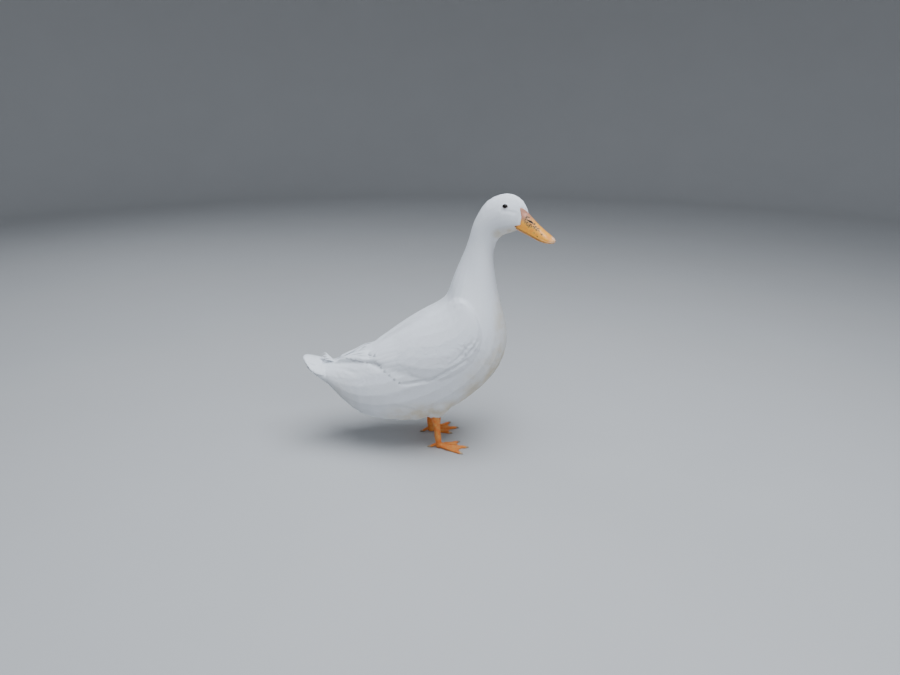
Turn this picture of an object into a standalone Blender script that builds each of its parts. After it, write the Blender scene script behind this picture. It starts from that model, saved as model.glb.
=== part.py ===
"""White Pekin duck, standing, life size, as a set of closed solids.

Metres, +Z up. The duck faces +X and its left side is +Y. The model stands on z = 0 with the bottom
centre of its box at the origin. Trunk, neck and head are one swept form, parted by thin cuts.
"""

import math
from collections import namedtuple

import bmesh
import bpy
from mathutils import Matrix, Vector

# ---------------------------------------------------------------- driving dimensions (metres)
GAP = 0.0003  # clear space between pieces that meet
AROUND = 24  # points round a section of trunk, neck and head
RINGS_PER_STATION = 2
HEAD_YAW = math.radians(-24.0)  # the head looks a little to the duck's right
NECK_AXIS_X = 0.062  # the upright line that the head turns about

EYE_RADIUS = 0.0064
EYE_SINK = 0.0046  # from the skin to the eyeball's centre

HOCK_HEIGHT = 0.083  # where the feathers end
HOCK_COVER = 0.005  # how far the bare leg goes on inside them
ANKLE_HEIGHT = 0.009
TOE_REACH = {"inner": 0.047, "middle": 0.061, "outer": 0.057}
TOE_SPLAY = {"inner": 29.0, "middle": 0.0, "outer": -29.0}  # degrees, positive to the midline
TOE_RADIUS = 0.0056
TOE_SINK = 0.0008  # how far a toe's pad is pressed flat
CLAW_LENGTH = 0.0075
WEB_THICKNESS = 0.0018

Station = namedtuple("Station", "dorsal_x dorsal_z ventral_x ventral_z half_width narrow_top")

# The sagittal outline from rump to bill: each station joins a point of the back line to a point of
# the belly line, and says how wide the body is between them and how much narrower it is on top.
BODY = [
    Station(-0.264, 0.190, -0.258, 0.142, 0.040, 0.00),  # 0 rump, at the tail's root
    Station(-0.234, 0.194, -0.224, 0.104, 0.056, 0.02),  # 1 vent
    Station(-0.192, 0.211, -0.187, 0.074, 0.073, 0.04),  # 2 rear of the abdomen
    Station(-0.142, 0.240, -0.130, 0.0575, 0.086, 0.06),  # 3 abdomen, the lowest part
    Station(-0.094, 0.275, -0.068, 0.060, 0.092, 0.07),  # 4 thighs
    Station(-0.055, 0.301, -0.006, 0.083, 0.093, 0.07),  # 5 belly
    Station(-0.026, 0.319, 0.046, 0.118, 0.089, 0.05),  # 6 keel
    Station(-0.007, 0.338, 0.091, 0.162, 0.080, 0.03),  # 7 breast
    Station(0.002, 0.362, 0.115, 0.208, 0.068, 0.02),  # 8 fullest point of the breast
    Station(0.011, 0.386, 0.120, 0.254, 0.055, 0.00),  # 9 foot of the neck
    Station(0.021, 0.410, 0.110, 0.303, 0.044, 0.00),  # 10
    Station(0.031, 0.434, 0.098, 0.347, 0.037, 0.00),  # 11
    Station(0.039, 0.458, 0.091, 0.387, 0.031, 0.00),  # 12 middle of the neck
    Station(0.046, 0.482, 0.088, 0.421, 0.028, 0.00),  # 13
    Station(0.057, 0.505, 0.094, 0.448, 0.027, 0.02),  # 14 throat
    Station(0.075, 0.530, 0.107, 0.463, 0.0265, 0.06),  # 15 back of the head
    Station(0.102, 0.5440, 0.120, 0.469, 0.0260, 0.12),  # 16 cheeks and crown
    Station(0.127, 0.5455, 0.131, 0.473, 0.0224, 0.22),  # 17 eyes
    Station(0.148, 0.5340, 0.138, 0.477, 0.0162, 0.34),  # 18 forehead
    Station(0.1600, 0.5128, 0.1415, 0.483, 0.0105, 0.20),  # 19 feathers end at the bill
]
RUMP, NECK_FOOT, NECK_MIDDLE, HEAD_BACK, BILL_ROOT = 0.0, 9.0, 12.0, 15.0, 19.0

# The tail goes on from the rump: a wedge that flattens into a rounded fan.
TAIL = [
    Station(-0.2644, 0.190, -0.2584, 0.142, 0.040, 0.00),
    Station(-0.279, 0.191, -0.277, 0.160, 0.042, 0.00),
    Station(-0.293, 0.194, -0.293, 0.176, 0.038, 0.00),
    Station(-0.304, 0.198, -0.304, 0.188, 0.027, 0.00),
    Station(-0.3115, 0.2015, -0.312, 0.1965, 0.012, 0.00),
]

# The folded wing's edges on the body: station, then the upper and lower edge in degrees from the
# midline of the back.
WING_EDGES = [
    (8.45, 60.0, 74.0),
    (8.05, 44.0, 93.0),
    (7.25, 28.0, 101.0),
    (6.20, 18.0, 102.0),
    (5.20, 13.0, 95.0),
    (4.20, 10.0, 79.0),
    (3.20, 8.0, 57.0),
    (2.55, 7.0, 40.0),
]
WING_TIP_EDGES = [
    (2.50, 7.0, 38.0),
    (1.90, 6.0, 29.0),
    (1.35, 6.0, 21.0),
    (0.90, 7.0, 13.0),
]
WING_PROUD, WING_SUNK = 0.0085, 0.0045  # above and below the body's surface, at the middle
EDGE_PROUD, EDGE_SUNK = 0.0012, 0.0008
TIP_PROUD, TIP_CLEAR = 0.0075, 0.0012
WING_SEAT = 0.0008  # clear space round a wing in its hollow

Section = namedtuple("Section", "along half_width height depth")
# Half width, height above and depth below the mouth line, along the bill's length.
UPPER_BILL = [
    Section(-0.009, 0.0140, 0.0345, 0.0000),
    Section(0.000, 0.0158, 0.0342, 0.0000),
    Section(0.010, 0.0160, 0.0302, 0.0000),
    Section(0.022, 0.0150, 0.0255, 0.0002),
    Section(0.036, 0.0145, 0.0208, 0.0006),
    Section(0.050, 0.0150, 0.0168, 0.0008),
    Section(0.063, 0.0156, 0.0126, 0.0008),
    Section(0.0725, 0.0122, 0.0086, 0.0006),
    Section(0.0775, 0.0052, 0.0050, 0.0008),
]
LOWER_BILL = [
    Section(-0.006, 0.0116, -0.0004, 0.0064),
    Section(0.006, 0.0134, -0.0004, 0.0060),
    Section(0.022, 0.0132, -0.0006, 0.0058),
    Section(0.042, 0.0132, -0.0013, 0.0056),
    Section(0.058, 0.0132, -0.0013, 0.0048),
    Section(0.068, 0.0106, -0.0013, 0.0038),
    Section(0.0735, 0.0050, -0.0014, 0.0028),
]
BILL_PITCH = math.radians(23.5)  # the mouth line slopes down
BILL_BASE = Vector((0.140, 0.0, 0.4845))  # on the mouth line, at the corner of the mouth
BILL_UPTURN = 0.0045  # how far the tip rises over the straight mouth line
NAIL_ALONG, NAIL_LENGTH, NAIL_HALF_WIDTH = 0.0735, 0.0120, 0.0050

EYE_PLACE = (16.54, 65.0)  # station, and degrees from the crown's midline

# Each leg: ankle on the floor, turn of the foot, and the hock above it.
Leg = namedtuple("Leg", "side ankle_x ankle_y toe_out hock_x hock_y")
LEGS = [
    Leg(-1, -0.025, 0.033, 3.0, -0.031, 0.043),
    Leg(1, -0.045, 0.045, 12.0, -0.047, 0.046),
]

COLOURS = {
    "feather": ((0.86, 0.86, 0.84, 1.0), 0.85),
    "bill": ((0.80, 0.42, 0.12, 1.0), 0.45),
    "nail": ((0.78, 0.60, 0.45, 1.0), 0.40),
    "leg": ((0.83, 0.28, 0.07, 1.0), 0.55),
    "claw": ((0.60, 0.47, 0.36, 1.0), 0.40),
    "eye": ((0.02, 0.02, 0.03, 1.0), 0.08),
}


# ---------------------------------------------------------------- scene helpers
def clear_scene():
    for item in list(bpy.data.objects):
        bpy.data.objects.remove(item, do_unlink=True)


def new_collection(name):
    made = bpy.data.collections.new(name)
    bpy.context.scene.collection.children.link(made)
    return made


def material(kind):
    """One Principled material for each kind of surface."""
    found = bpy.data.materials.get(kind)
    if found:
        return found
    colour, roughness = COLOURS[kind]
    made = bpy.data.materials.new(kind)
    made.use_nodes = True
    shader = made.node_tree.nodes["Principled BSDF"]
    shader.inputs["Base Color"].default_value = colour
    shader.inputs["Roughness"].default_value = roughness
    shader.inputs["Metallic"].default_value = 0.0
    made.diffuse_color = colour
    return made


def object_from(bm, name, kind, collection):
    """Turns a bmesh into a smooth-shaded object with its faces pointing out."""
    bmesh.ops.recalc_face_normals(bm, faces=bm.faces[:])
    mesh = bpy.data.meshes.new(name)
    bm.to_mesh(mesh)
    bm.free()
    mesh.shade_smooth()
    mesh.set_sharp_from_angle(angle=math.radians(50))
    made = bpy.data.objects.new(name, mesh)
    made.data.materials.append(material(kind))
    collection.objects.link(made)
    return made


def boolean(target, other, operation):
    """Joins or cuts target with another object, which then shows only as a wire guide."""
    step = target.modifiers.new(f"{operation.lower()}_{other.name}", "BOOLEAN")
    step.operation = operation
    step.solver = "EXACT"
    step.object = other
    other.hide_render = True
    other.display_type = "WIRE"


# ---------------------------------------------------------------- shapes
def smooth_between(rows, t):
    """Catmull-Rom through rows of numbers, where t counts the rows."""
    last = len(rows) - 1
    i = min(int(max(t, 0.0)), last - 1)
    f = t - i
    here, there = rows[i], rows[i + 1]
    before = rows[i - 1] if i > 0 else [2 * a - b for a, b in zip(here, there)]
    after = rows[i + 2] if i + 2 <= last else [2 * b - a for a, b in zip(here, there)]
    weights = (
        (-f + 2 * f * f - f ** 3) / 2,
        (2 - 5 * f * f + 3 * f ** 3) / 2,
        (f + 4 * f * f - 3 * f ** 3) / 2,
        (f ** 3 - f * f) / 2,
    )
    return [sum(w * value for w, value in zip(weights, four)) for four in zip(before, here, there, after)]


def section_point(stations, t, angle):
    """A point on a swept form: angle 0 is the midline of the back, a right angle the left side."""
    dx, dz, vx, vz, half_width, narrow = smooth_between(stations, t)
    top, bottom = Vector((dx, 0, dz)), Vector((vx, 0, vz))
    middle, up = (top + bottom) / 2, (top - bottom) / 2
    width = half_width * (1 - narrow * math.cos(angle))
    return middle + up * math.cos(angle) + Vector((0, width * math.sin(angle), 0))


def turned(point, share=1.0):
    """The point after the head's turn about the neck's upright line, or a share of it."""
    pivot = Matrix.Translation((NECK_AXIS_X, 0, 0))
    return pivot @ Matrix.Rotation(HEAD_YAW * share, 4, "Z") @ pivot.inverted() @ point


def body_point(t, angle):
    """A point of the trunk, neck and head's surface, with the neck's twist."""
    climb = min(max((t - NECK_FOOT + 1) / (HEAD_BACK - NECK_FOOT + 1), 0.0), 1.0)
    return turned(section_point(BODY, t, angle), climb * climb * (3 - 2 * climb))


def body_normal(t, angle):
    """The outward normal of that surface."""
    step = 0.02
    along = body_point(t + step, angle) - body_point(t - step, angle)
    around = body_point(t, angle + step) - body_point(t, angle - step)
    return along.cross(around).normalized()


def skin_rings(bm, rings):
    """Closed skin over rings of equal count, with a flat cap at each end."""
    rows = [[bm.verts.new(p) for p in ring] for ring in rings]
    count = len(rows[0])
    for near, far in zip(rows, rows[1:]):
        for i in range(count):
            j = (i + 1) % count
            bm.faces.new((near[i], near[j], far[j], far[i]))
    bm.faces.new(reversed(rows[0]))
    bm.faces.new(rows[-1])
    return rows


def swept_part(name, start, end, parts):
    """The stretch of trunk, neck or head from one station to another, clear of the next one."""
    count = max(2, round((end - start) * RINGS_PER_STATION) + 1)
    rings = []
    for i in range(count):
        t = start + (end - start) * i / (count - 1)
        rings.append([body_point(t, 2 * math.pi * k / AROUND) for k in range(AROUND)])
    if start > RUMP:
        ahead = (body_point(start + 0.02, 0) - body_point(start, 0)).normalized()
        rings[0] = [p + ahead * GAP for p in rings[0]]
    bm = bmesh.new()
    skin_rings(bm, rings)
    return object_from(bm, name, "feather", parts)


def plate(bm, across, along, upper, lower):
    """A closed plate between two surfaces given over the same grid of (u, v) from 0 to 1."""
    top, bottom = [], []
    for i in range(along + 1):
        u = i / along
        top.append([bm.verts.new(upper(u, j / across)) for j in range(across + 1)])
        bottom.append([bm.verts.new(lower(u, j / across)) for j in range(across + 1)])
    for i in range(along):
        for j in range(across):
            bm.faces.new((top[i][j], top[i][j + 1], top[i + 1][j + 1], top[i + 1][j]))
            bm.faces.new((bottom[i][j], bottom[i + 1][j], bottom[i + 1][j + 1], bottom[i][j + 1]))
    for i in range(along):
        for j, flip in ((0, False), (across, True)):
            wall = (top[i][j], top[i + 1][j], bottom[i + 1][j], bottom[i][j])
            bm.faces.new(reversed(wall) if flip else wall)
    for j in range(across):
        for i, flip in ((0, True), (along, False)):
            wall = (top[i][j], top[i][j + 1], bottom[i][j + 1], bottom[i][j])
            bm.faces.new(reversed(wall) if flip else wall)


# ---------------------------------------------------------------- trunk, neck, head, tail
def build_body(parts):
    return {
        "trunk": swept_part("trunk", RUMP, NECK_FOOT, parts),
        "neck_lower": swept_part("neck_lower", NECK_FOOT, NECK_MIDDLE, parts),
        "neck_upper": swept_part("neck_upper", NECK_MIDDLE, HEAD_BACK, parts),
        "head": swept_part("head", HEAD_BACK, BILL_ROOT, parts),
    }


def build_tail(parts):
    rings = []
    count = (len(TAIL) - 1) * 2
    for i in range(count + 1):
        t = (len(TAIL) - 1) * i / count
        rings.append([section_point(TAIL, t, 2 * math.pi * k / AROUND) for k in range(AROUND)])
    bm = bmesh.new()
    skin_rings(bm, rings)
    return object_from(bm, "tail", "feather", parts)


# ---------------------------------------------------------------- wings
def bulge(u, v):
    """0 on a plate's rim and 1 over its middle."""
    ends = min(4.4 * u, 2.4 * (1 - u), 1.0)
    sides = 2 * min(v, 1 - v)
    return math.sqrt(max(1 - (1 - max(ends, 0.0)) ** 2, 0.0) * max(1 - (1 - max(sides, 0.0)) ** 2, 0.0))


def wing_layer(name, edges, side, proud, sunk, kind, collection, grow=0.0, grid=(7, 14)):
    """A plate that hugs the body between two edges; grow makes the cutter for it."""
    reach = len(edges) - 1
    spare = 0.005 if grow else 0.0

    def place(u, v, height):
        t, top, bottom = smooth_between(edges, (u * (1 + 2 * spare) - spare) * reach)
        wide = v * (1 + 4 * spare) - 2 * spare
        angle = side * math.radians(top + (bottom - top) * wide)
        return body_point(t, angle) + body_normal(t, angle) * height

    bm = bmesh.new()
    plate(
        bm,
        *grid,
        lambda u, v: place(u, v, proud(bulge(u, v)) + grow),
        lambda u, v: place(u, v, -sunk(bulge(u, v)) - grow),
    )
    return object_from(bm, name, kind, collection)


def build_wing(side, word, trunk, parts, cutters):
    """The folded wing in a hollow of the trunk, and the long quills that lie over the rump."""

    def proud(b):
        return EDGE_PROUD + (WING_PROUD - EDGE_PROUD) * b

    def sunk(b):
        return EDGE_SUNK + (WING_SUNK - EDGE_SUNK) * b

    wing_layer(f"wing_{word}", WING_EDGES, side, proud, sunk, "feather", parts)
    hollow = f"wing_hollow_{word}"
    cutter = wing_layer(hollow, WING_EDGES, side, proud, sunk, "feather", cutters, grow=WING_SEAT)
    boolean(trunk, cutter, "DIFFERENCE")
    wing_layer(
        f"wing_tip_{word}",
        WING_TIP_EDGES,
        side,
        lambda b: TIP_CLEAR + 0.0018 + (TIP_PROUD - TIP_CLEAR - 0.0018) * b,
        lambda b: -TIP_CLEAR,
        "feather",
        parts,
        grid=(4, 6),
    )


# ---------------------------------------------------------------- bill and eyes
def bill_place(along, across, height):
    """From the bill's own axes (along the mouth line, to the left, up) to the duck's."""
    forward = Vector((math.cos(BILL_PITCH), 0, -math.sin(BILL_PITCH)))
    up = Vector((math.sin(BILL_PITCH), 0, math.cos(BILL_PITCH)))
    height += BILL_UPTURN * (max(along - 0.046, 0.0) / 0.032) ** 2
    return turned(BILL_BASE + forward * along + Vector((0, across, 0)) + up * height)


def bill_half(name, sections, crown, kind, collection, grow=0.0):
    """One half of the bill: an arch over a nearly flat face, or a shallow tray for the lower half."""
    around, rings = 14, []
    count = (len(sections) - 1) * 2
    for i in range(count + 1):
        along, half_width, height, depth = smooth_between(sections, (len(sections) - 1) * i / count)
        along += grow * (2 * i / count - 1)
        ring = []
        for k in range(around):
            a = 2 * math.pi * k / around
            rise = math.sin(a)
            if crown:
                level = height * rise ** 0.85 if rise > 0 else max(rise * 2.2, -1.0) * depth
            else:
                level = height if rise > 0 else height + (height + depth) * rise
            across = (half_width + grow) * math.copysign(abs(math.cos(a)) ** 0.7, math.cos(a))
            ring.append(bill_place(along, across, level + grow * max(-1.0, min(4 * rise, 1.0))))
        rings.append(ring)
    bm = bmesh.new()
    skin_rings(bm, rings)
    return object_from(bm, name, kind, collection)


def ellipsoid(name, centre, radii, turn, kind, collection, segments=12, rings=8):
    bm = bmesh.new()
    bmesh.ops.create_uvsphere(bm, u_segments=segments, v_segments=rings, radius=1.0)
    bmesh.ops.scale(bm, vec=radii, verts=bm.verts)
    bmesh.ops.transform(bm, matrix=Matrix.Translation(centre) @ turn.to_4x4(), verts=bm.verts)
    return object_from(bm, name, kind, collection)


def build_bill(head, parts, cutters):
    upper = bill_half("bill_upper", UPPER_BILL, True, "bill", parts)
    bill_half("bill_lower", LOWER_BILL, False, "bill", parts)
    boolean(head, bill_half("bill_upper_socket", UPPER_BILL, True, "bill", cutters, GAP), "DIFFERENCE")
    boolean(head, bill_half("bill_lower_socket", LOWER_BILL, False, "bill", cutters, GAP), "DIFFERENCE")
    turn = Matrix.Rotation(HEAD_YAW, 3, "Z") @ Matrix.Rotation(BILL_PITCH + 0.10, 3, "Y")
    centre = bill_place(NAIL_ALONG, 0, 0.0040)
    size = Vector((NAIL_LENGTH / 2, NAIL_HALF_WIDTH, 0.0026))
    ellipsoid("bill_nail", centre, size, turn, "nail", parts)
    grown = size + Vector((GAP, GAP, GAP))
    boolean(upper, ellipsoid("nail_seat", centre, grown, turn, "nail", cutters), "DIFFERENCE")


def build_eyes(head, parts, cutters):
    station, degrees = EYE_PLACE
    for side, word in ((1, "left"), (-1, "right")):
        angle = side * math.radians(degrees)
        centre = body_point(station, angle) - body_normal(station, angle) * EYE_SINK
        turn = Matrix.Identity(3)
        ball = Vector((EYE_RADIUS,) * 3)
        socket = ball + Vector((GAP,) * 3)
        ellipsoid(f"eye_{word}", centre, ball, turn, "eye", parts)
        hollow = ellipsoid(f"eye_socket_{word}", centre, socket, turn, "eye", cutters)
        boolean(head, hollow, "DIFFERENCE")


# ---------------------------------------------------------------- legs and feet
def tube(name, points, radii, kind, collection, around=12, floor=None):
    """A tapering tube through points, each with a radius to the side and one along its bend."""
    rings = []
    for i, (point, (wide, deep)) in enumerate(zip(points, radii)):
        ahead = points[min(i + 1, len(points) - 1)] - points[max(i - 1, 0)]
        ahead.normalize()
        side = Vector((0, 0, 1)).cross(ahead)
        side = side.normalized() if side.length > 0.3 else Vector((0, 1, 0))
        other = ahead.cross(side).normalized()
        ring = []
        for k in range(around):
            a = 2 * math.pi * k / around
            p = point + side * wide * math.cos(a) + other * deep * math.sin(a)
            ring.append(Vector((p.x, p.y, max(p.z, floor))) if floor is not None else p)
        rings.append(ring)
    bm = bmesh.new()
    skin_rings(bm, rings)
    return object_from(bm, name, kind, collection)


def thigh(name, leg, collection, grow=0.0):
    """The feathered thigh, from inside the trunk down to just above the hock."""
    top = Vector((leg.hock_x + 0.004, leg.side * 0.050, 0.150))
    foot = Vector((leg.hock_x, leg.side * leg.hock_y, HOCK_HEIGHT))
    shape = [(0.0, 0.020), (0.3, 0.032), (0.55, 0.032), (0.78, 0.025), (0.93, 0.0185), (1.0, 0.0140)]
    points = [top.lerp(foot, share) for share, _ in shape]
    radii = [(radius * 0.92 + grow, radius * 1.1 + grow) for _, radius in shape]
    points[-1].z -= grow
    return tube(name, points, radii, "feather", collection, around=16)


def foot_matrix(leg):
    turn = Matrix.Rotation(math.radians(leg.side * leg.toe_out), 4, "Z")
    return Matrix.Translation((leg.ankle_x, leg.side * leg.ankle_y, 0)) @ turn


def toe_line(leg, digit, share, height):
    """A point over a toe's line, where share 0 is the ankle and 1 the root of the claw."""
    splay = math.radians(-leg.side * TOE_SPLAY[digit])
    reach = TOE_REACH[digit] * share
    return Vector((reach * math.cos(splay), reach * math.sin(splay), height))


def toe_radius(share):
    """Knuckles and taper along a toe."""
    return TOE_RADIUS * (1 - 0.42 * share) * (1 + 0.08 * math.cos(2 * math.pi * 2.25 * share))


def toe(name, leg, digit, collection):
    steps = 7
    points, radii = [], []
    for i in range(steps + 1):
        share = i / steps
        radius = toe_radius(share)
        arch = 0.0022 * (1 - share) ** 2
        points.append(foot_matrix(leg) @ toe_line(leg, digit, share, radius * 0.85 + arch - TOE_SINK))
        radii.append((radius, radius * 0.85))
    return tube(name, points, radii, "leg", collection, around=8)


def claw(name, start, ahead, collection, grow=0.0):
    """A small blunt hook that curves down to the floor."""
    points, radii = [], []
    for i in range(5):
        share = i / 4
        drop = Vector((0, 0, -0.0012 * share * share))
        points.append(start + ahead * CLAW_LENGTH * share + drop)
        radius = 0.0026 * (1 - share ** 1.6) + 0.0005 + grow
        radii.append((radius * 0.85, radius))
    return tube(name, points, radii, "claw", collection, around=8, floor=0.0)


def web(name, leg, inner, outer, collection):
    """The skin between two toes, with a hollow front edge."""

    def place(u, v, lift):
        reach = (0.10 + 0.84 * u) * (1 - 0.15 * u * math.sin(math.pi * v))
        high = 0.0019 + 0.0032 * (1 - u) ** 2
        a = toe_line(leg, inner, reach, high)
        b = toe_line(leg, outer, reach, high)
        return foot_matrix(leg) @ (a.lerp(b, v) + Vector((0, 0, lift)))

    bm = bmesh.new()
    half = WEB_THICKNESS / 2
    plate(bm, 3, 4, lambda u, v: place(u, v, half), lambda u, v: place(u, v, -half))
    return object_from(bm, name, "leg", collection)


def build_foot(leg, word, parts, cutters):
    """Three webbed toes and a small hind toe round an ankle pad, flat on the floor."""
    matrix = foot_matrix(leg)
    foot = toe(f"foot_{word}", leg, "middle", parts)
    others = [toe(f"toe_{digit}_{word}", leg, digit, cutters) for digit in ("inner", "outer")]
    for inner, outer in (("inner", "middle"), ("middle", "outer")):
        others.append(web(f"web_{inner}_{word}", leg, inner, outer, cutters))
    centre, size = matrix @ Vector((0.001, 0, 0.0072)), Vector((0.0085, 0.0080, 0.0082))
    others.append(ellipsoid(f"pad_{word}", centre, size, matrix.to_3x3(), "leg", cutters, 10, 6))
    bends = ((0.0, 0, 0.0085), (-0.008, 0, 0.0070), (-0.0145, 0, 0.0036), (-0.019, 0, 0.0022))
    hind = [matrix @ Vector(bend) for bend in bends]
    thick = [(radius, radius) for radius in (0.0036, 0.0033, 0.0030, 0.0026)]
    others.append(tube(f"hind_toe_{word}", hind, thick, "leg", cutters, around=8))
    for other in others:
        boolean(foot, other, "UNION")
    claws = {}
    for digit in TOE_REACH:
        start = matrix @ toe_line(leg, digit, 0.97, 0.0026)
        ahead = (matrix @ toe_line(leg, digit, 1.5, 0.0026) - start).normalized()
        claws[digit] = (start, ahead)
    claws["hind"] = (matrix @ Vector((-0.0180, 0, 0.0026)), matrix.to_3x3() @ Vector((-1, 0, -0.08)))
    for digit, (start, ahead) in claws.items():
        claw(f"claw_{digit}_{word}", start, ahead, parts)
        seat = claw(f"claw_seat_{digit}_{word}", start - ahead * GAP, ahead, cutters, GAP)
        boolean(foot, seat, "DIFFERENCE")
    floor = bmesh.new()
    bmesh.ops.create_cube(floor, size=0.2)
    bmesh.ops.translate(floor, vec=(leg.ankle_x, leg.side * leg.ankle_y, -0.1), verts=floor.verts)
    boolean(foot, object_from(floor, f"floor_{word}", "leg", cutters), "DIFFERENCE")
    return foot


def shank(name, leg, collection, grow=0.0):
    """The bare shank from the hock's knob down to the ankle."""
    foot = Vector((leg.ankle_x, leg.side * leg.ankle_y, ANKLE_HEIGHT))
    hock = Vector((leg.hock_x, leg.side * leg.hock_y, HOCK_HEIGHT + HOCK_COVER))
    shape = [
        (0.0, 0.0062, 0.0072),
        (0.14, 0.0066, 0.0078),
        (0.34, 0.0058, 0.0075),
        (0.60, 0.0060, 0.0082),
        (0.82, 0.0082, 0.0104),
        (1.0, 0.0082, 0.0100),
    ]
    points = [foot.lerp(hock, share) for share, _, _ in shape]
    points[0].z -= grow
    points[-1].z += grow
    radii = [(deep + grow, wide + grow) for _, wide, deep in shape]
    return tube(name, points, radii, "leg", collection, around=12)


def build_leg(leg, trunk, parts, cutters):
    word = "left" if leg.side > 0 else "right"
    upper = thigh(f"thigh_{word}", leg, parts)
    boolean(trunk, thigh(f"thigh_socket_{word}", leg, cutters, GAP), "DIFFERENCE")
    shank(f"shank_{word}", leg, parts)
    foot = build_foot(leg, word, parts, cutters)
    seat = shank(f"shank_seat_{word}", leg, cutters, GAP)
    for cut in (foot, upper, trunk):
        boolean(cut, seat, "DIFFERENCE")


# ---------------------------------------------------------------- the whole duck
def stand_on_origin(parts, cutters):
    """Moves everything, by one parent, so that the bottom centre of the box is the origin."""
    graph = bpy.context.evaluated_depsgraph_get()
    corners = []
    for item in parts.objects:
        solid = item.evaluated_get(graph)
        corners += [solid.matrix_world @ Vector(corner) for corner in solid.bound_box]
    low = Vector(min(c[i] for c in corners) for i in range(3))
    high = Vector(max(c[i] for c in corners) for i in range(3))
    holder = bpy.data.objects.new("duck_origin", None)
    parts.objects.link(holder)
    holder.location = (-(low.x + high.x) / 2, -(low.y + high.y) / 2, -low.z)
    for item in list(parts.objects) + list(cutters.objects):
        if item is not holder:
            item.parent = holder


def main():
    clear_scene()
    parts = new_collection("duck")
    cutters = new_collection("cutters")
    body = build_body(parts)
    build_tail(parts)
    for side, word in ((1, "left"), (-1, "right")):
        build_wing(side, word, body["trunk"], parts, cutters)
    build_bill(body["head"], parts, cutters)
    build_eyes(body["head"], parts, cutters)
    for leg in LEGS:
        build_leg(leg, body["trunk"], parts, cutters)
    stand_on_origin(parts, cutters)


main()
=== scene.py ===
"""A life-size white Pekin duck: skin, plumage, long feathers, bill, eyes, legs and claws over its solids."""

import logging  # noqa: E402
import math  # noqa: E402
from dataclasses import astuple, dataclass, field, replace  # noqa: E402
from enum import Enum  # noqa: E402

import bpy  # noqa: E402
import numpy as np  # noqa: E402
from mathutils.bvhtree import BVHTree  # noqa: E402
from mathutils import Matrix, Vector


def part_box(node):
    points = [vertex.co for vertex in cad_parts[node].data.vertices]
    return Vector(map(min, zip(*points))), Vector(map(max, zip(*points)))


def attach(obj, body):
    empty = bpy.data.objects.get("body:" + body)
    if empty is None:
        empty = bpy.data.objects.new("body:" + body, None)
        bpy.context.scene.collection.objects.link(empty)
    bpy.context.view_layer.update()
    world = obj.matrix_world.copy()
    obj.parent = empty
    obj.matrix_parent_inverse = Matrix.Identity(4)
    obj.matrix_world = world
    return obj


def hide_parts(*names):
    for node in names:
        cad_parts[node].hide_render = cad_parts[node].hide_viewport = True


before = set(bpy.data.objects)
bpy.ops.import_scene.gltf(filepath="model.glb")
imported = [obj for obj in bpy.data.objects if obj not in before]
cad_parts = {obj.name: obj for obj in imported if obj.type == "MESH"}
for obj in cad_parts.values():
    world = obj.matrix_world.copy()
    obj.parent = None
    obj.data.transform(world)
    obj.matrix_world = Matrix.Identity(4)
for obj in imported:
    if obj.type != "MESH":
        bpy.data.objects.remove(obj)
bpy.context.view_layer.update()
LOG = logging.getLogger("duck")

SHIFT = 0.0546152  # from the measuring frame's origin to the model's, along X
TURN_AXIS_X = 0.062 + SHIFT  # the upright line that the head turns about
HEAD_TURN = math.radians(-24)
SMOOTHING = (0.5, -0.53)  # one round: inwards, and outwards again so that nothing shrinks
MAP_SPAN, MAP_EDGE = 0.97, 0.012  # the part of the baking map that is used, and its free edge
PATCH = 0.003  # a feather's size on the baking map

Array = np.ndarray
Socket = bpy.types.NodeSocket
Material = bpy.types.Material
Colour = tuple[float, float, float]
Place = tuple[float, float, float]
Table = tuple[tuple[float, ...], ...]


class Side(Enum):
    """The duck's right side faces the camera, towards -Y."""

    RIGHT = -1
    LEFT = 1

    @property
    def word(self) -> str:
        """The side's name as the solids have it."""
        return self.name.lower()


class Slot(Enum):
    """The record's material slots."""

    FEATHERS = "feathers"
    BILL = "bill"
    NAIL = "bill_nail"
    LEGS = "legs"
    CLAWS = "claws"
    EYES = "eyes"


# ---------------------------------------------------------------- small numeric helpers
def unit(vectors: Array) -> Array:
    """Vectors along the last axis, at length 1."""
    return vectors / np.maximum(np.linalg.norm(vectors, axis=-1, keepdims=True), 1e-12)


def ease(value: Array | float, low: float, high: float) -> Array:
    """A smooth step from 0 at low to 1 at high."""
    share = np.clip((np.asarray(value, float) - low) / (high - low), 0, 1)
    return share * share * (3 - 2 * share)


def between(first: float | tuple, final: float | tuple, share: float | Array) -> float | tuple | Array:
    """A number, or each number of a tuple, a share of the way from the first to the final one.

    Args:
        first: what lies at share 0.
        final: what lies at share 1.
        share: the share of the way.

    Returns:
        What lies there.
    """
    if isinstance(first, tuple):
        return tuple(between(a, b, share) for a, b in zip(first, final))
    return first + (final - first) * share


def smooth_rows(rows: Array, at: Array) -> Array:
    """Catmull-Rom values of a table's rows.

    Args:
        rows: the table, one station to a row.
        at: where to read it, in stations from the first row.

    Returns:
        One row of values for each place.
    """
    rows = np.asarray(rows, float)
    last = len(rows) - 1
    i = np.clip(np.floor(at).astype(int), 0, last - 1)
    f = (at - i)[:, None]
    before, a, b, after = (rows[np.clip(i + k, 0, last)] for k in (-1, 0, 1, 2))
    return 0.5 * (2 * a + (b - before) * f + (2 * before - 5 * a + 4 * b - after) * f**2
                  + (3 * a - before - 3 * b + after) * f**3)


def round_angles(count: int) -> Array:
    """Evenly spaced angles all the way round."""
    return np.linspace(0, 2 * math.pi, count, endpoint=False)


def oval(s: Array, t: Array, middle: float, level: float, long: float, high: float) -> Array:
    """How far off an oval's middle some places lie, squared: it is 1 on the oval's edge."""
    return ((s - middle) / long) ** 2 + ((t - level) / high) ** 2


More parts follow.
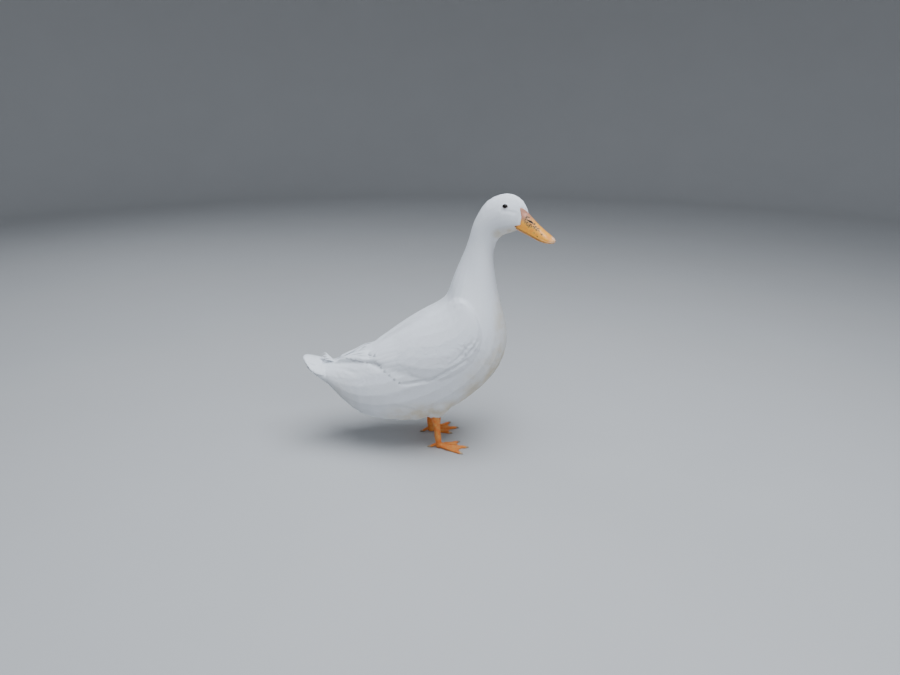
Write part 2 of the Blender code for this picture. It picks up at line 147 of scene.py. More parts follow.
def turn_head(points: Array, share: Array | float = 1.0) -> Array:
    """Points turned with the head about its upright line, by a share of the whole turn.

    Args:
        points: places on the unturned head.
        share: how much of the turn they take.

    Returns:
        The turned points.
    """
    angle = HEAD_TURN * np.asarray(share, float)
    out = np.array(points, float)
    x, y = out[..., 0] - TURN_AXIS_X, out[..., 1].copy()
    out[..., 0] = TURN_AXIS_X + x * np.cos(angle) - y * np.sin(angle)
    out[..., 1] = x * np.sin(angle) + y * np.cos(angle)
    return out


# ---------------------------------------------------------------- meshes
def read_mesh(mesh: bpy.types.Mesh) -> tuple[Array, Array]:
    """A mesh's points and its triangles.

    Args:
        mesh: any mesh.

    Returns:
        The points, and the triangles as rows of points.
    """
    mesh.calc_loop_triangles()
    points = np.empty(len(mesh.vertices) * 3)
    mesh.vertices.foreach_get("co", points)
    faces = np.empty(len(mesh.loop_triangles) * 3, np.int32)
    mesh.loop_triangles.foreach_get("vertices", faces)
    return points.reshape(-1, 3), faces.reshape(-1, 3)


def placed(name: str, data: bpy.types.ID) -> bpy.types.Object:
    """A new object in the scene.

    Args:
        name: the object's name.
        data: its mesh, light or camera.

    Returns:
        The object.
    """
    made = bpy.data.objects.new(name, data)
    bpy.context.scene.collection.objects.link(made)
    return made


@dataclass
class Surface:
    """Points and faces on their way to becoming a piece of the duck."""

    points: Array
    faces: Array  # triangles or quads, one to a row
    normals: Array | None = None
    bake: Array | None = None  # a place on the baking map for each point
    values: dict[str, Array] = field(default_factory=dict)  # a number for each point

    @staticmethod
    def joined(surfaces: list["Surface"]) -> "Surface":
        """Several surfaces of feathers as one.

        Args:
            surfaces: the ones to join.

        Returns:
            The joined surface.
        """
        starts = np.cumsum([0] + [len(s.points) for s in surfaces[:-1]])
        names = surfaces[0].values
        return Surface(
            np.concatenate([s.points for s in surfaces]),
            np.concatenate([s.faces + start for s, start in zip(surfaces, starts)]),
            np.concatenate([s.normals for s in surfaces]) if surfaces[0].normals is not None else None,
            np.concatenate([s.bake for s in surfaces]),
            {name: np.concatenate([s.values[name] for s in surfaces]) for name in names},
        )

    def piece(self, name: str, material: Material, slot: Slot) -> bpy.types.Object:
        """Makes the mesh object, and lets it ride on the duck's one body.

        Args:
            name: the piece's name.
            material: its finish.
            slot: the record's slot that the finish belongs to; not used.

        Returns:
            The new object.
        """
        mesh = bpy.data.meshes.new(name)
        corners = self.faces.shape[1]
        mesh.vertices.add(len(self.points))
        mesh.loops.add(self.faces.size)
        mesh.polygons.add(len(self.faces))
        mesh.vertices.foreach_set("co", self.points.astype(np.float32).ravel())
        mesh.loops.foreach_set("vertex_index", self.faces.astype(np.int32).ravel())
        mesh.polygons.foreach_set("loop_start", np.arange(0, self.faces.size, corners, dtype=np.int32))
        mesh.polygons.foreach_set("use_smooth", np.ones(len(self.faces), bool))
        mesh.update(calc_edges=True)
        for key, numbers in self.values.items():
            layer = mesh.attributes.new(key, "FLOAT", "POINT")
            layer.data.foreach_set("value", numbers.astype(np.float32))
        if self.bake is not None:
            layer = mesh.uv_layers.new(name="OFBake")
            layer.data.foreach_set("uv", self.bake[self.faces.ravel()].astype(np.float32).ravel())
        mesh.validate()
        if self.normals is not None:
            mesh.normals_split_custom_set_from_vertices(self.normals.tolist())
        mesh.materials.append(material)
        made = placed(name, mesh)
        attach(made, "root")
        LOG.info("%s: %d faces", name, len(mesh.polygons))
        return made


def remeshed(names: list[str], voxel: float, rounds: int) -> tuple[Array, Array, Array]:
    """Several solids as one closed and smoothed surface.

    Args:
        names: the solids' names.
        voxel: the new faces' size.
        rounds: how many times it is smoothed, each time without shrinking.

    Returns:
        The points, the triangles and the points' normals.
    """
    points, faces, start = [], [], 0
    for name in names:
        p, f = read_mesh(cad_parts[name].data)
        points.append(p)
        faces.append(f + start)
        start += len(p)
    mesh = bpy.data.meshes.new("joined")
    mesh.from_pydata(np.concatenate(points).tolist(), [], np.concatenate(faces).tolist())
    thing = placed("joined", mesh)
    change = thing.modifiers.new("voxels", "REMESH")
    change.mode, change.voxel_size = "VOXEL", voxel
    changed = thing.evaluated_get(bpy.context.evaluated_depsgraph_get())
    shape = bpy.data.meshes.new_from_object(changed)
    new, triangles = read_mesh(shape)
    edges = np.empty(len(shape.edges) * 2, np.int32)
    shape.edges.foreach_get("vertices", edges)
    edges = edges.reshape(-1, 2)
    bpy.data.objects.remove(thing)
    keep = outermost(new, edges)
    for strength in SMOOTHING * rounds:
        new = new + strength * (neighbour_mean(new, edges, ((0, 1), (1, 0))) - new)
    index = np.cumsum(keep) - 1
    triangles = index[triangles[keep[triangles].all(1)]]
    new = new[keep]
    return new, triangles, point_normals(new, triangles)


def neighbour_mean(values: Array, links: Array, ways: tuple[tuple[int, int], ...]) -> Array:
    """The mean of each point's neighbours.

    Args:
        values: a number or a place for each point.
        links: edges or faces, as rows of points.
        ways: the columns of links to go from and to.

    Returns:
        The means, one for each point.
    """
    total, count = np.zeros_like(values), np.zeros(len(values))
    for a, b in ways:
        np.add.at(total, links[:, a], values[links[:, b]])
        np.add.at(count, links[:, a], 1)
    return (total.T / np.maximum(count, 1)).T


def outermost(points: Array, edges: Array) -> Array:
    """Which points belong to the largest connected shell.

    Args:
        points: all the points.
        edges: pairs of joined points.

    Returns:
        True for each point of that shell.
    """
    label = np.arange(len(points))
    while True:
        low = np.minimum(label[edges[:, 0]], label[edges[:, 1]])
        old = label.copy()
        np.minimum.at(label, edges[:, 0], low)
        np.minimum.at(label, edges[:, 1], low)
        label = label[label]
        if (old == label).all():
            break
    return label == np.bincount(label).argmax()


def point_normals(points: Array, faces: Array) -> Array:
    """Each point's normal, from the triangles around it.

    Args:
        points: all the points.
        faces: triangles, as rows of points.

    Returns:
        A unit normal for each point.
    """
    a, b, c = (points[faces[:, k]] for k in range(3))
    across = np.cross(b - a, c - a)
    total = np.zeros_like(points)
    for k in range(3):
        np.add.at(total, faces[:, k], across)
    return unit(total)


# ---------------------------------------------------------------- the duck's form and how its plumage lies
@dataclass(frozen=True)
class Spine:
    """The line that the plumage follows, from the bill's tip to the tail's."""

    # x and z along the middle of the body, and the share of the head's turn there
    stations: Table = (
        (0.212, 0.464, 1), (0.185, 0.480, 1), (0.150, 0.498, 1), (0.129, 0.509, 1), (0.111, 0.5065, 1),
        (0.091, 0.4965, 1), (0.0755, 0.4765, 0.945), (0.067, 0.4515, 0.80), (0.065, 0.4225, 0.61),
        (0.0645, 0.3905, 0.39), (0.0655, 0.3565, 0.20), (0.0655, 0.320, 0.06), (0.0585, 0.285, 0),
        (0.042, 0.250, 0), (0.010, 0.2185, 0), (-0.0305, 0.192, 0), (-0.081, 0.1675, 0),
        (-0.135, 0.152, 0), (-0.1895, 0.149, 0), (-0.235, 0.158, 0), (-0.272, 0.176, 0), (-0.312, 0.199, 0),
    )
    reach: float = 0.034  # how far a part of the line sways the plumage
    count: int = 90  # the points that it is read at

    def line(self) -> Array:
        """Evenly numbered points along it.

        Returns:
            The points, where the head is turned.
        """
        rows = smooth_rows(self.stations, np.linspace(0, len(self.stations) - 1, self.count))
        points = np.stack([rows[:, 0] + SHIFT, np.zeros(self.count), rows[:, 1]], 1)
        return turn_head(points, np.clip(rows[:, 2], 0, 1))

    def read(self, points: Array) -> tuple[Array, Array, Array]:
        """How the line runs beside some points.

        Args:
            points: places near the duck.

        Returns:
            The line's direction there, how far along it they lie from 0 at the bill to 1 at the
            tail, and the angle round it as a share of a full turn, from the back.
        """
        line = self.line()
        ahead = unit(np.gradient(line, axis=0))
        along = np.concatenate([[0], np.cumsum(np.linalg.norm(np.diff(line, axis=0), axis=1))])
        along /= along[-1]
        out = [], [], []
        for part in np.array_split(points, max(1, len(points) // 20000)):  # to spare memory
            gap = part[:, None] - line[None]
            near = (gap**2).sum(2)
            weight = np.exp(-(near - near.min(1, keepdims=True)) / (2 * self.reach**2))
            weight /= weight.sum(1, keepdims=True)
            direction = unit(weight @ ahead)
            offset = part - weight @ line
            across = unit(np.cross(direction, [0.0, 0.0, 1.0]) + [0, 1e-9, 0])
            up = np.cross(across, direction)
            angle = np.arctan2((offset * across).sum(1), (offset * up).sum(1))
            for row, value in zip(out, (direction, weight @ along, angle / (2 * math.pi) + 0.5)):
                row.append(value)
        return tuple(np.concatenate(row) for row in out)


@dataclass(frozen=True)
class Crease:
    """A furrow between two swells of plumage, seen from the side and on both sides of the duck."""

    path: Table  # x and z along it
    furrow: float  # its depth
    width: float
    over: float = 0.0  # how far the plumage above it stands out
    under: float = 0.0  # how far the plumage below it stands out
    reach: float = 0.014  # how far the swells go
    head: bool = False  # given on the unturned head

    def act(self, points: Array) -> Array:
        """How far outwards it moves some points.

        Args:
            points: places on the duck.

        Returns:
            A distance for each point, inwards below 0.
        """
        places = turn_head(points, -1.0) if self.head else points
        flat = places[:, (0, 2)]
        nearest, signed, along = np.full(len(flat), 1e9), np.zeros(len(flat)), np.zeros(len(flat))
        line = np.array(self.path)
        for i, (a, b) in enumerate(zip(line, line[1:])):
            t = ((flat - a) @ (b - a)) / ((b - a) @ (b - a))
            inside = np.clip(t, 0, 1)
            off = flat - a - inside[:, None] * (b - a)
            gap = np.linalg.norm(off, axis=1)
            closer = gap < nearest
            normal = np.array([-(b - a)[1], (b - a)[0]]) / np.linalg.norm(b - a)
            signed = np.where(closer, gap * np.where(off @ normal >= 0, 1, -1), signed)
            along = np.where(closer, (i + inside) / (len(line) - 1), along)
            nearest = np.minimum(nearest, gap)
        ends = np.sin(math.pi * (along * 0.92 + 0.04)) ** 0.6  # fainter towards both ends
        move = -self.furrow * np.exp(-((signed / self.width) ** 2))
        swell = np.exp(-((nearest / self.reach) ** 2)) * ease(nearest, 0, self.reach * 0.45)
        move += np.where(signed > 0, self.over, self.under) * swell
        middle = (0.006, 0.014) if self.head else (0.03, 0.05)  # it fades out between these, off the middle
        return move * ends * ease(np.abs(places[:, 1]), *middle)


class Guide:
    """The duck's outer form as one closed surface that skin and feathers are laid by."""

    CREASES = (
        Crease(((-0.045, 0.1735), (-0.0303, 0.1752), (-0.0059, 0.1805), (0.0184, 0.1862), (0.0346, 0.1947),
                (0.0486, 0.2046), (0.0646, 0.2125), (0.0866, 0.2250)), 0.0036, 0.0027, 0.0012, 0.0014),
        Crease(((0.0506, 0.2169), (0.0745, 0.2346), (0.0904, 0.2539), (0.1043, 0.2680)),
               0.0013, 0.0028, 0.0004),
        Crease(((0.0830, 0.2300), (0.0985, 0.2469), (0.1105, 0.2632)), 0.0014, 0.0030, 0.0006, 0.0006, 0.010),
        Crease(((-0.118, 0.2060), (-0.100, 0.2040), (-0.086, 0.1990)), 0.0030, 0.0060, 0.0016, 0.0004),
        Crease(((-0.178, 0.1880), (-0.160, 0.1855), (-0.142, 0.1850)), 0.0016, 0.0035, 0.0008, 0.0004),
        Crease(((-0.070, 0.1240), (-0.048, 0.1220), (-0.024, 0.1140), (-0.008, 0.1020)),
               0.0014, 0.0050, 0.0010),
        Crease(((0.168, 0.5160), (0.184, 0.5150), (0.196, 0.5115)),
               0.0007, 0.0035, 0.0003, 0.0004, 0.008, True),
        Crease(((0.160, 0.4800), (0.176, 0.4795), (0.194, 0.4850)), 0.0014, 0.0042, 0.0007, 0.0, 0.012, True),
    )

    FLESH = ("trunk", "neck_lower", "neck_upper", "head", "thigh_left", "thigh_right", "tail",
             "wing_left", "wing_right", "wing_tip_left", "wing_tip_right")
    HARD = ("bill_upper", "bill_lower", "bill_nail", "eye_left", "eye_right", "shank_left", "shank_right")
    VOXEL, ROUNDS = 0.0023, 6
    FAR = 0.02  # no solid is looked for beyond this
    DEEP = 0.05  # nor is the body's other side

    def __init__(self) -> None:
        """Builds the surface and the trees that it and the solids are searched with."""
        names = [*self.FLESH, *self.HARD]
        self.points, self.faces, self.normals = remeshed(names, self.VOXEL, self.ROUNDS)
        for crease in self.CREASES:
            self.points = self.points + self.normals * crease.act(self.points)[:, None]
        self.normals = point_normals(self.points, self.faces)
        self.tree = BVHTree.FromPolygons(self.points.tolist(), self.faces.tolist())
        self.spine = Spine()
        self.names = names
        self.solid_trees = []
        for name in names:
            p, f = read_mesh(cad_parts[name].data)
            self.solid_trees.append(BVHTree.FromPolygons(p.tolist(), f.tolist()))
        LOG.info("guide surface: %d points", len(self.points))

    def nearest(self, points: Array) -> tuple[Array, Array]:
        """The surface's nearest points to some places, and its smooth normals there.

        Args:
            points: places near the duck.

        Returns:
            A point and a unit normal for each place.
        """
        flat = np.asarray(points, float).reshape(-1, 3)
        places, index = np.empty_like(flat), np.empty(len(flat), int)
        find = self.tree.find_nearest
        for i, place in enumerate(flat.tolist()):
            places[i], _, index[i], _ = find(place)
        a, b, c = (self.points[self.faces[index, k]] for k in range(3))
        area = np.cross(b - a, c - a)
        size = np.maximum((area**2).sum(1), 1e-24)
        u = (np.cross(b - places, c - places) * area).sum(1) / size
        v = (np.cross(c - places, a - places) * area).sum(1) / size
        shares = np.stack([u, v, 1 - u - v], 1)
        normals = unit(np.einsum("ij,ijk->ik", shares, self.normals[self.faces[index]]))
        return places.reshape(points.shape), normals.reshape(points.shape)

    def owners(self, points: Array) -> Array:
        """The number in names of the solid that is nearest to each place.

        Args:
            points: places on the surface.

        Returns:
            A number for each place.
        """
        gaps = np.empty((len(self.names), len(points)))
        for row, tree in zip(gaps, self.solid_trees):
            row[:] = [tree.find_nearest(p, self.FAR)[3] or 1.0 for p in points.tolist()]
        return gaps.argmin(0)

    def thickness(self) -> Array:
        """How deep the body is under each of the surface's points.

        Returns:
            A depth for each point.
        """
        out = np.full(len(self.points), self.DEEP)
        starts = (self.points - self.normals * 2e-4).tolist()  # just inside, so as not to hit itself
        for i, (start, inward) in enumerate(zip(starts, (-self.normals).tolist())):
            hit = self.tree.ray_cast(start, inward, self.DEEP)
            if hit[0] is not None:
                out[i] = hit[3]
        return out


# ---------------------------------------------------------------- finishes
class Nodes:
    """A procedural material while it is being wired."""

    SOFT = 1.6  # how far round its edge a place on the duck fades
    FIRST_COLOUR, SECOND_COLOUR, MIXED_COLOUR = 6, 7, 2  # a mix node's sockets for colours

    def __init__(self, name: str, roughness: float, **sockets: float) -> None:
        """Starts it.

        Args:
            name: the material's name.
            roughness: the shader's roughness.
            sockets: further numbers of the shader's, with _ for a space.
        """
        self.material = bpy.data.materials.new(name)
        self.material.use_nodes = True
        self.tree = self.material.node_tree
        self.shader = next(n for n in self.tree.nodes if n.type == "BSDF_PRINCIPLED")
        self.shader.inputs["Roughness"].default_value = roughness
        for key, value in sockets.items():
            self.shader.inputs[key.replace("_", " ")].default_value = value
        self.place = self.tree.nodes.new("ShaderNodeTexCoord").outputs["Object"]

    def put(self, socket: Socket, value: object) -> None:
        """Links a socket, or sets the socket's own number or colour.

        Args:
            socket: the socket to fill.
            value: another socket, a number or a colour.
        """
        if isinstance(value, Socket):
            self.tree.links.new(value, socket)
        elif isinstance(value, tuple) and len(value) == 3 and socket.type == "RGBA":
            socket.default_value = (*value, 1)
        else:
            socket.default_value = value

    def stretched(self, factors: Place) -> Socket:
        """The duck's own space times a factor along each axis.

        Args:
            factors: one for each axis.

        Returns:
            The stretched place.
        """
        node = self.tree.nodes.new("ShaderNodeVectorMath")
        node.operation = "MULTIPLY"
        self.put(node.inputs[0], self.place)
        node.inputs[1].default_value = factors
        return node.outputs[0]

    def noise(self, scale: float, detail: float, stretch: Place | None = None) -> Socket:
        """Noise over the duck's own space, in cells to a metre.

        Args:
            scale: how many cells to a metre.
            detail: how many layers of finer noise.
            stretch: factors that stretch the space first.

        Returns:
            The noise, from 0 to 1.
        """
        node = self.tree.nodes.new("ShaderNodeTexNoise")
        node.inputs["Scale"].default_value = scale
        node.inputs["Detail"].default_value = detail
        node.inputs["Roughness"].default_value = 0.6
        self.put(node.inputs["Vector"], self.stretched(stretch) if stretch else self.place)
        return node.outputs["Fac"]

    def cells(self, scale: float) -> Socket:
        """Distance to the edges of small cells.

        Args:
            scale: how many cells to a metre.

        Returns:
            The distance.
        """
        node = self.tree.nodes.new("ShaderNodeTexVoronoi")
        node.feature = "DISTANCE_TO_EDGE"
        node.inputs["Scale"].default_value = scale
        self.put(node.inputs["Vector"], self.place)
        return node.outputs["Distance"]

    def value(self, name: str) -> Socket:
        """A number that the mesh holds for each point.

        Args:
            name: what the mesh calls it.

        Returns:
            The number.
        """
        node = self.tree.nodes.new("ShaderNodeAttribute")
        node.attribute_name = name
        return node.outputs["Fac"]

    def math(self, operation: str, a: object, b: object) -> Socket:
        """Arithmetic on two numbers.

        Args:
            operation: what the node does.
            a: the first number.
            b: the second number.

        Returns:
            The result.
        """
        node = self.tree.nodes.new("ShaderNodeMath")
        node.operation = operation
        self.put(node.inputs[0], a)
        self.put(node.inputs[1], b)
        return node.outputs[0]

    def step(self, value: object, low: float, high: float, bottom: float = 0.0,
             top: float = 1.0) -> Socket:
        """A smooth step from bottom at low to top at high.

        Args:
            value: the number that steps.
            low: where the step starts.
            high: where it ends.
            bottom: the result up to low.
            top: the result from high on.

        Returns:
            The result.
        """
        node = self.tree.nodes.new("ShaderNodeMapRange")
        node.interpolation_type = "SMOOTHSTEP"
        for key, number in zip(("From Min", "From Max", "To Min", "To Max"), (low, high, bottom, top)):
            node.inputs[key].default_value = number
        self.put(node.inputs["Value"], value)
        return node.outputs[0]

    def near(self, centre: Place, radii: Place) -> Socket:
        """1 inside a stretched ball of the duck's space, falling to 0 outside it.

        Args:
            centre: the ball's middle.
            radii: its half sizes.

        Returns:
            The share.
        """
        gap = self.tree.nodes.new("ShaderNodeVectorMath")
        gap.operation = "DISTANCE"
        self.put(gap.inputs[0], self.stretched(tuple(1 / r for r in radii)))
        gap.inputs[1].default_value = [c / r for c, r in zip(centre, radii)]
        return self.step(gap.outputs["Value"], 1 / self.SOFT, self.SOFT, 1, 0)

    def mix(self, share: object, a: object, b: object) -> Socket:
        """Two colours mixed.

        Args:
            share: 0 gives the first colour and 1 the second.
            a: the first colour.
            b: the second colour.

        Returns:
            The mixed colour.
        """
        node = self.tree.nodes.new("ShaderNodeMix")
        node.data_type = "RGBA"
        self.put(node.inputs[0], share)
        self.put(node.inputs[self.FIRST_COLOUR], a)
        self.put(node.inputs[self.SECOND_COLOUR], b)
        return node.outputs[self.MIXED_COLOUR]

    def bump(self, height: Socket, distance: float, strength: float) -> None:
        """Relief on the surface, with its distance in metres.

        Args:
            height: the relief, from 0 to 1.
            distance: how high 1 is.
            strength: how much of it shows.
        """
        node = self.tree.nodes.new("ShaderNodeBump")
        node.inputs["Strength"].default_value = strength
        node.inputs["Distance"].default_value = distance
        self.put(node.inputs["Height"], height)
        self.put(self.shader.inputs["Normal"], node.outputs["Normal"])

    def done(self, colour: Socket, roughness: object = None) -> Material:
        """Gives the shader its colour and returns the material.

        Args:
            colour: the shader's colour.
            roughness: takes the place of its number.

        Returns:
            The material.
        """
        self.put(self.shader.inputs["Base Color"], colour)
        if roughness is not None:
            self.put(self.shader.inputs["Roughness"], roughness)
        return self.material


@dataclass(frozen=True)
class PlumageFinish:
    """White plumage, with a yellowish tint under the breast, belly and chin: partly soil, partly painted
    shade, and a painted yellowish reflection under the chin.
    """

    white: Colour = (0.83, 0.85, 0.88)
    shade: Colour = (0.70, 0.73, 0.80)
    soil: Colour = (0.60, 0.50, 0.31)
    # centre, radii and strength of each yellowish place, partly soil and partly painted shade
    stains: tuple[tuple[Place, Place, float], ...] = (
        ((0.128, 0.0, 0.150), (0.060, 0.080, 0.080), 0.75),
        ((0.010, 0.0, 0.100), (0.090, 0.090, 0.034), 0.80),
        # under the chin: painted shade with a painted yellowish reflection
        ((0.170, -0.028, 0.470), (0.026, 0.030, 0.013), 0.85),
        ((0.165, -0.010, 0.250), (0.026, 0.050, 0.090), 0.50),
        ((-0.150, 0.0, 0.140), (0.060, 0.050, 0.040), 0.35),
    )

    def material(self, name: str = "plumage", bumpy: bool = False) -> Material:
        """Wires the finish; tone is a number that the mesh holds, and bumpy adds the relief of down.

        Args:
            name: the material's name.
            bumpy: whether it has that relief.

        Returns:
            The material.
        """
        m = Nodes(name, 0.62, Sheen_Weight=0.12, Sheen_Roughness=0.45, Specular_IOR_Level=0.25)
        grain = m.step(m.noise(420, 4), 0.3, 0.75, 0, 0.25)
        tone = m.math("ADD", m.math("MULTIPLY", m.value("tone"), 0.20), grain)
        colour = m.mix(m.math("MULTIPLY", tone, 0.6), self.white, self.shade)
        patches = m.noise(38, 4)
        # the yellowish tint: partly soil, partly painted shade and, under the chin, a painted reflection
        for centre, radii, strength in self.stains:
            soil_and_shade_mask = m.math("MULTIPLY", m.near(centre, radii), m.step(patches, 0.32, 0.68, 0.35, 1.0))
            colour = m.mix(m.math("MULTIPLY", soil_and_shade_mask, strength), colour, self.soil)
        if bumpy:
            m.bump(m.noise(900, 5), 0.0004, 0.5)
        return m.done(colour)


@dataclass(frozen=True)
class BillFinish:
    """Orange-yellow horn, rosy towards the culmen's base, with black flecks."""

    yellow: Colour = (0.88, 0.40, 0.045)
    orange: Colour = (0.84, 0.29, 0.03)
    rosy: Colour = (0.49, 0.22, 0.14)
    pale: Colour = (0.82, 0.52, 0.30)
    black: Colour = (0.018, 0.013, 0.011)
    olive: Colour = (0.40, 0.30, 0.13)
    # painted shade in the mouth seam
    brown: Colour = (0.10, 0.045, 0.025)

    def material(self) -> Material:
        """Wires the finish; rosy, pale, dark and seam are numbers that the mesh holds.

        Returns:
            The material.
        """
        m = Nodes("bill_horn", 0.36, Specular_IOR_Level=0.38, Coat_Weight=0.08, Coat_Roughness=0.3)
        colour = m.mix(m.step(m.noise(140, 3), 0.35, 0.7), self.yellow, self.orange)
        colour = m.mix(m.value("rosy"), colour, self.rosy)
        colour = m.mix(m.value("pale"), colour, self.pale)
        colour = m.mix(m.step(m.value("dark"), 0.06, 0.55, 0, 0.60), colour, self.olive)
        # painted shade in the mouth seam between the bill's halves
        seam_shade = m.math("MULTIPLY", m.value("seam"), m.step(m.noise(260, 3), 0.35, 0.6, 0.35, 0.9))
        colour = m.mix(seam_shade, colour, self.brown)
        grain = m.step(m.noise(620, 5), 0.40, 0.60, 0, 0.7)
        black = m.step(m.math("ADD", m.value("dark"), grain), 0.78, 0.94)
        colour = m.mix(black, colour, self.black)
        m.bump(m.noise(700, 4), 0.00025, 0.5)
        rough = m.step(m.noise(300, 2), 0.3, 0.7, 0.32, 0.46)
        return m.done(colour, m.math("ADD", rough, m.math("MULTIPLY", black, 0.3)))


@dataclass(frozen=True)
class NailFinish:
    """The hard pale cap at the bill's tip."""

    cream: Colour = (0.82, 0.56, 0.38)
    rosy: Colour = (0.72, 0.40, 0.26)

    def material(self) -> Material:
        """Wires the finish.

        Returns:
            The material.
        """
        m = Nodes("bill_nail", 0.30, Specular_IOR_Level=0.5, Coat_Weight=0.2, Coat_Roughness=0.25)
        colour = m.mix(m.step(m.noise(350, 3), 0.3, 0.7), self.cream, self.rosy)
        m.bump(m.noise(1100, 3), 0.0001, 0.4)
        return m.done(colour)


@dataclass(frozen=True)
class LegFinish:
    """Orange skin in small scales, with painted shade in the grooves between them."""

    orange: Colour = (0.86, 0.22, 0.025)
    deep: Colour = (0.62, 0.12, 0.02)
    pale: Colour = (0.90, 0.42, 0.10)

    def material(self) -> Material:
        """Wires the finish.

        Returns:
            The material.
        """
        m = Nodes("leg_skin", 0.46, Specular_IOR_Level=0.4)
        scales = m.cells(430)
        colour = m.mix(m.step(m.noise(90, 3), 0.35, 0.65), self.orange, self.pale)
        # darker in the grooves between the scales: painted shade
        colour = m.mix(m.step(scales, 0.0, 0.16, 0.75, 0.0), colour, self.deep)
        m.bump(m.step(scales, 0.0, 0.30), 0.0005, 0.8)
        return m.done(colour, m.step(scales, 0.0, 0.3, 0.6, 0.42))


@dataclass(frozen=True)
class ClawFinish:
    """Pale horn, darker towards the tip; along is a number that the mesh holds."""

    root: Colour = (0.60, 0.42, 0.26)
    tip: Colour = (0.20, 0.14, 0.10)

    def material(self) -> Material:
        """Wires the finish.

        Returns:
            The material.
        """
        m = Nodes("claw_horn", 0.35, Specular_IOR_Level=0.5)
        streaks = m.noise(800, 3, (0.4, 0.4, 1.6))
        colour = m.mix(m.math("MULTIPLY", m.value("along"), m.step(streaks, 0.2, 0.8, 0.6, 1.0)),
                       self.root, self.tip)
        m.bump(streaks, 0.00015, 0.5)
        return m.done(colour)


@dataclass(frozen=True)
class EyeFinish:
    """A dark brown iris round a black pupil, under a wet cornea."""

    iris: Colour = (0.016, 0.009, 0.006)
    ring: Colour = (0.005, 0.004, 0.004)
    pupil: Colour = (0.001, 0.001, 0.0012)

    def material(self) -> Material:
        """Wires the finish; outward is each point's angle from the gaze, in half turns.

        Returns:
            The material.
        """
        m = Nodes("eye", 0.08, Specular_IOR_Level=0.22, Coat_Weight=0.1, Coat_Roughness=0.02)
        outward = m.value("outward")
        streaks = m.step(m.noise(1500, 3), 0.3, 0.7, 0.6, 1.0)
        colour = m.mix(m.step(outward, 0.115, 0.135), self.pupil, m.mix(streaks, self.ring, self.iris))
        return m.done(m.mix(m.step(outward, 0.21, 0.235), colour, self.ring))


@dataclass(frozen=True)
class LidFinish:
    """The bare rim round the eye."""

    outer: Colour = (0.52, 0.44, 0.42)
    inner: Colour = (0.035, 0.025, 0.024)

    def material(self) -> Material:
        """Wires the finish; rim is 1 at the eye and 0 at the feathers.

        Returns:
            The material.
        """
        m = Nodes("lid", 0.5)
        wrinkles = m.noise(1800, 4)
        edge = m.math("ADD", m.value("rim"), m.math("MULTIPLY", wrinkles, 0.25))
        m.bump(wrinkles, 0.0002, 0.6)
        return m.done(m.mix(m.step(edge, 0.45, 0.72), self.outer, self.inner))


@dataclass(frozen=True)
class FloorFinish:
    """A pale matt floor."""

    light: Colour = (0.47, 0.47, 0.47)
    dark: Colour = (0.44, 0.44, 0.44)

    def material(self) -> Material:
        """Wires the finish.

        Returns:
            The material.
        """
        m = Nodes("floor", 0.7, Specular_IOR_Level=0.2)
        m.bump(m.noise(60, 3), 0.001, 0.1)
        return m.done(m.mix(m.noise(2.5, 3), self.light, self.dark))


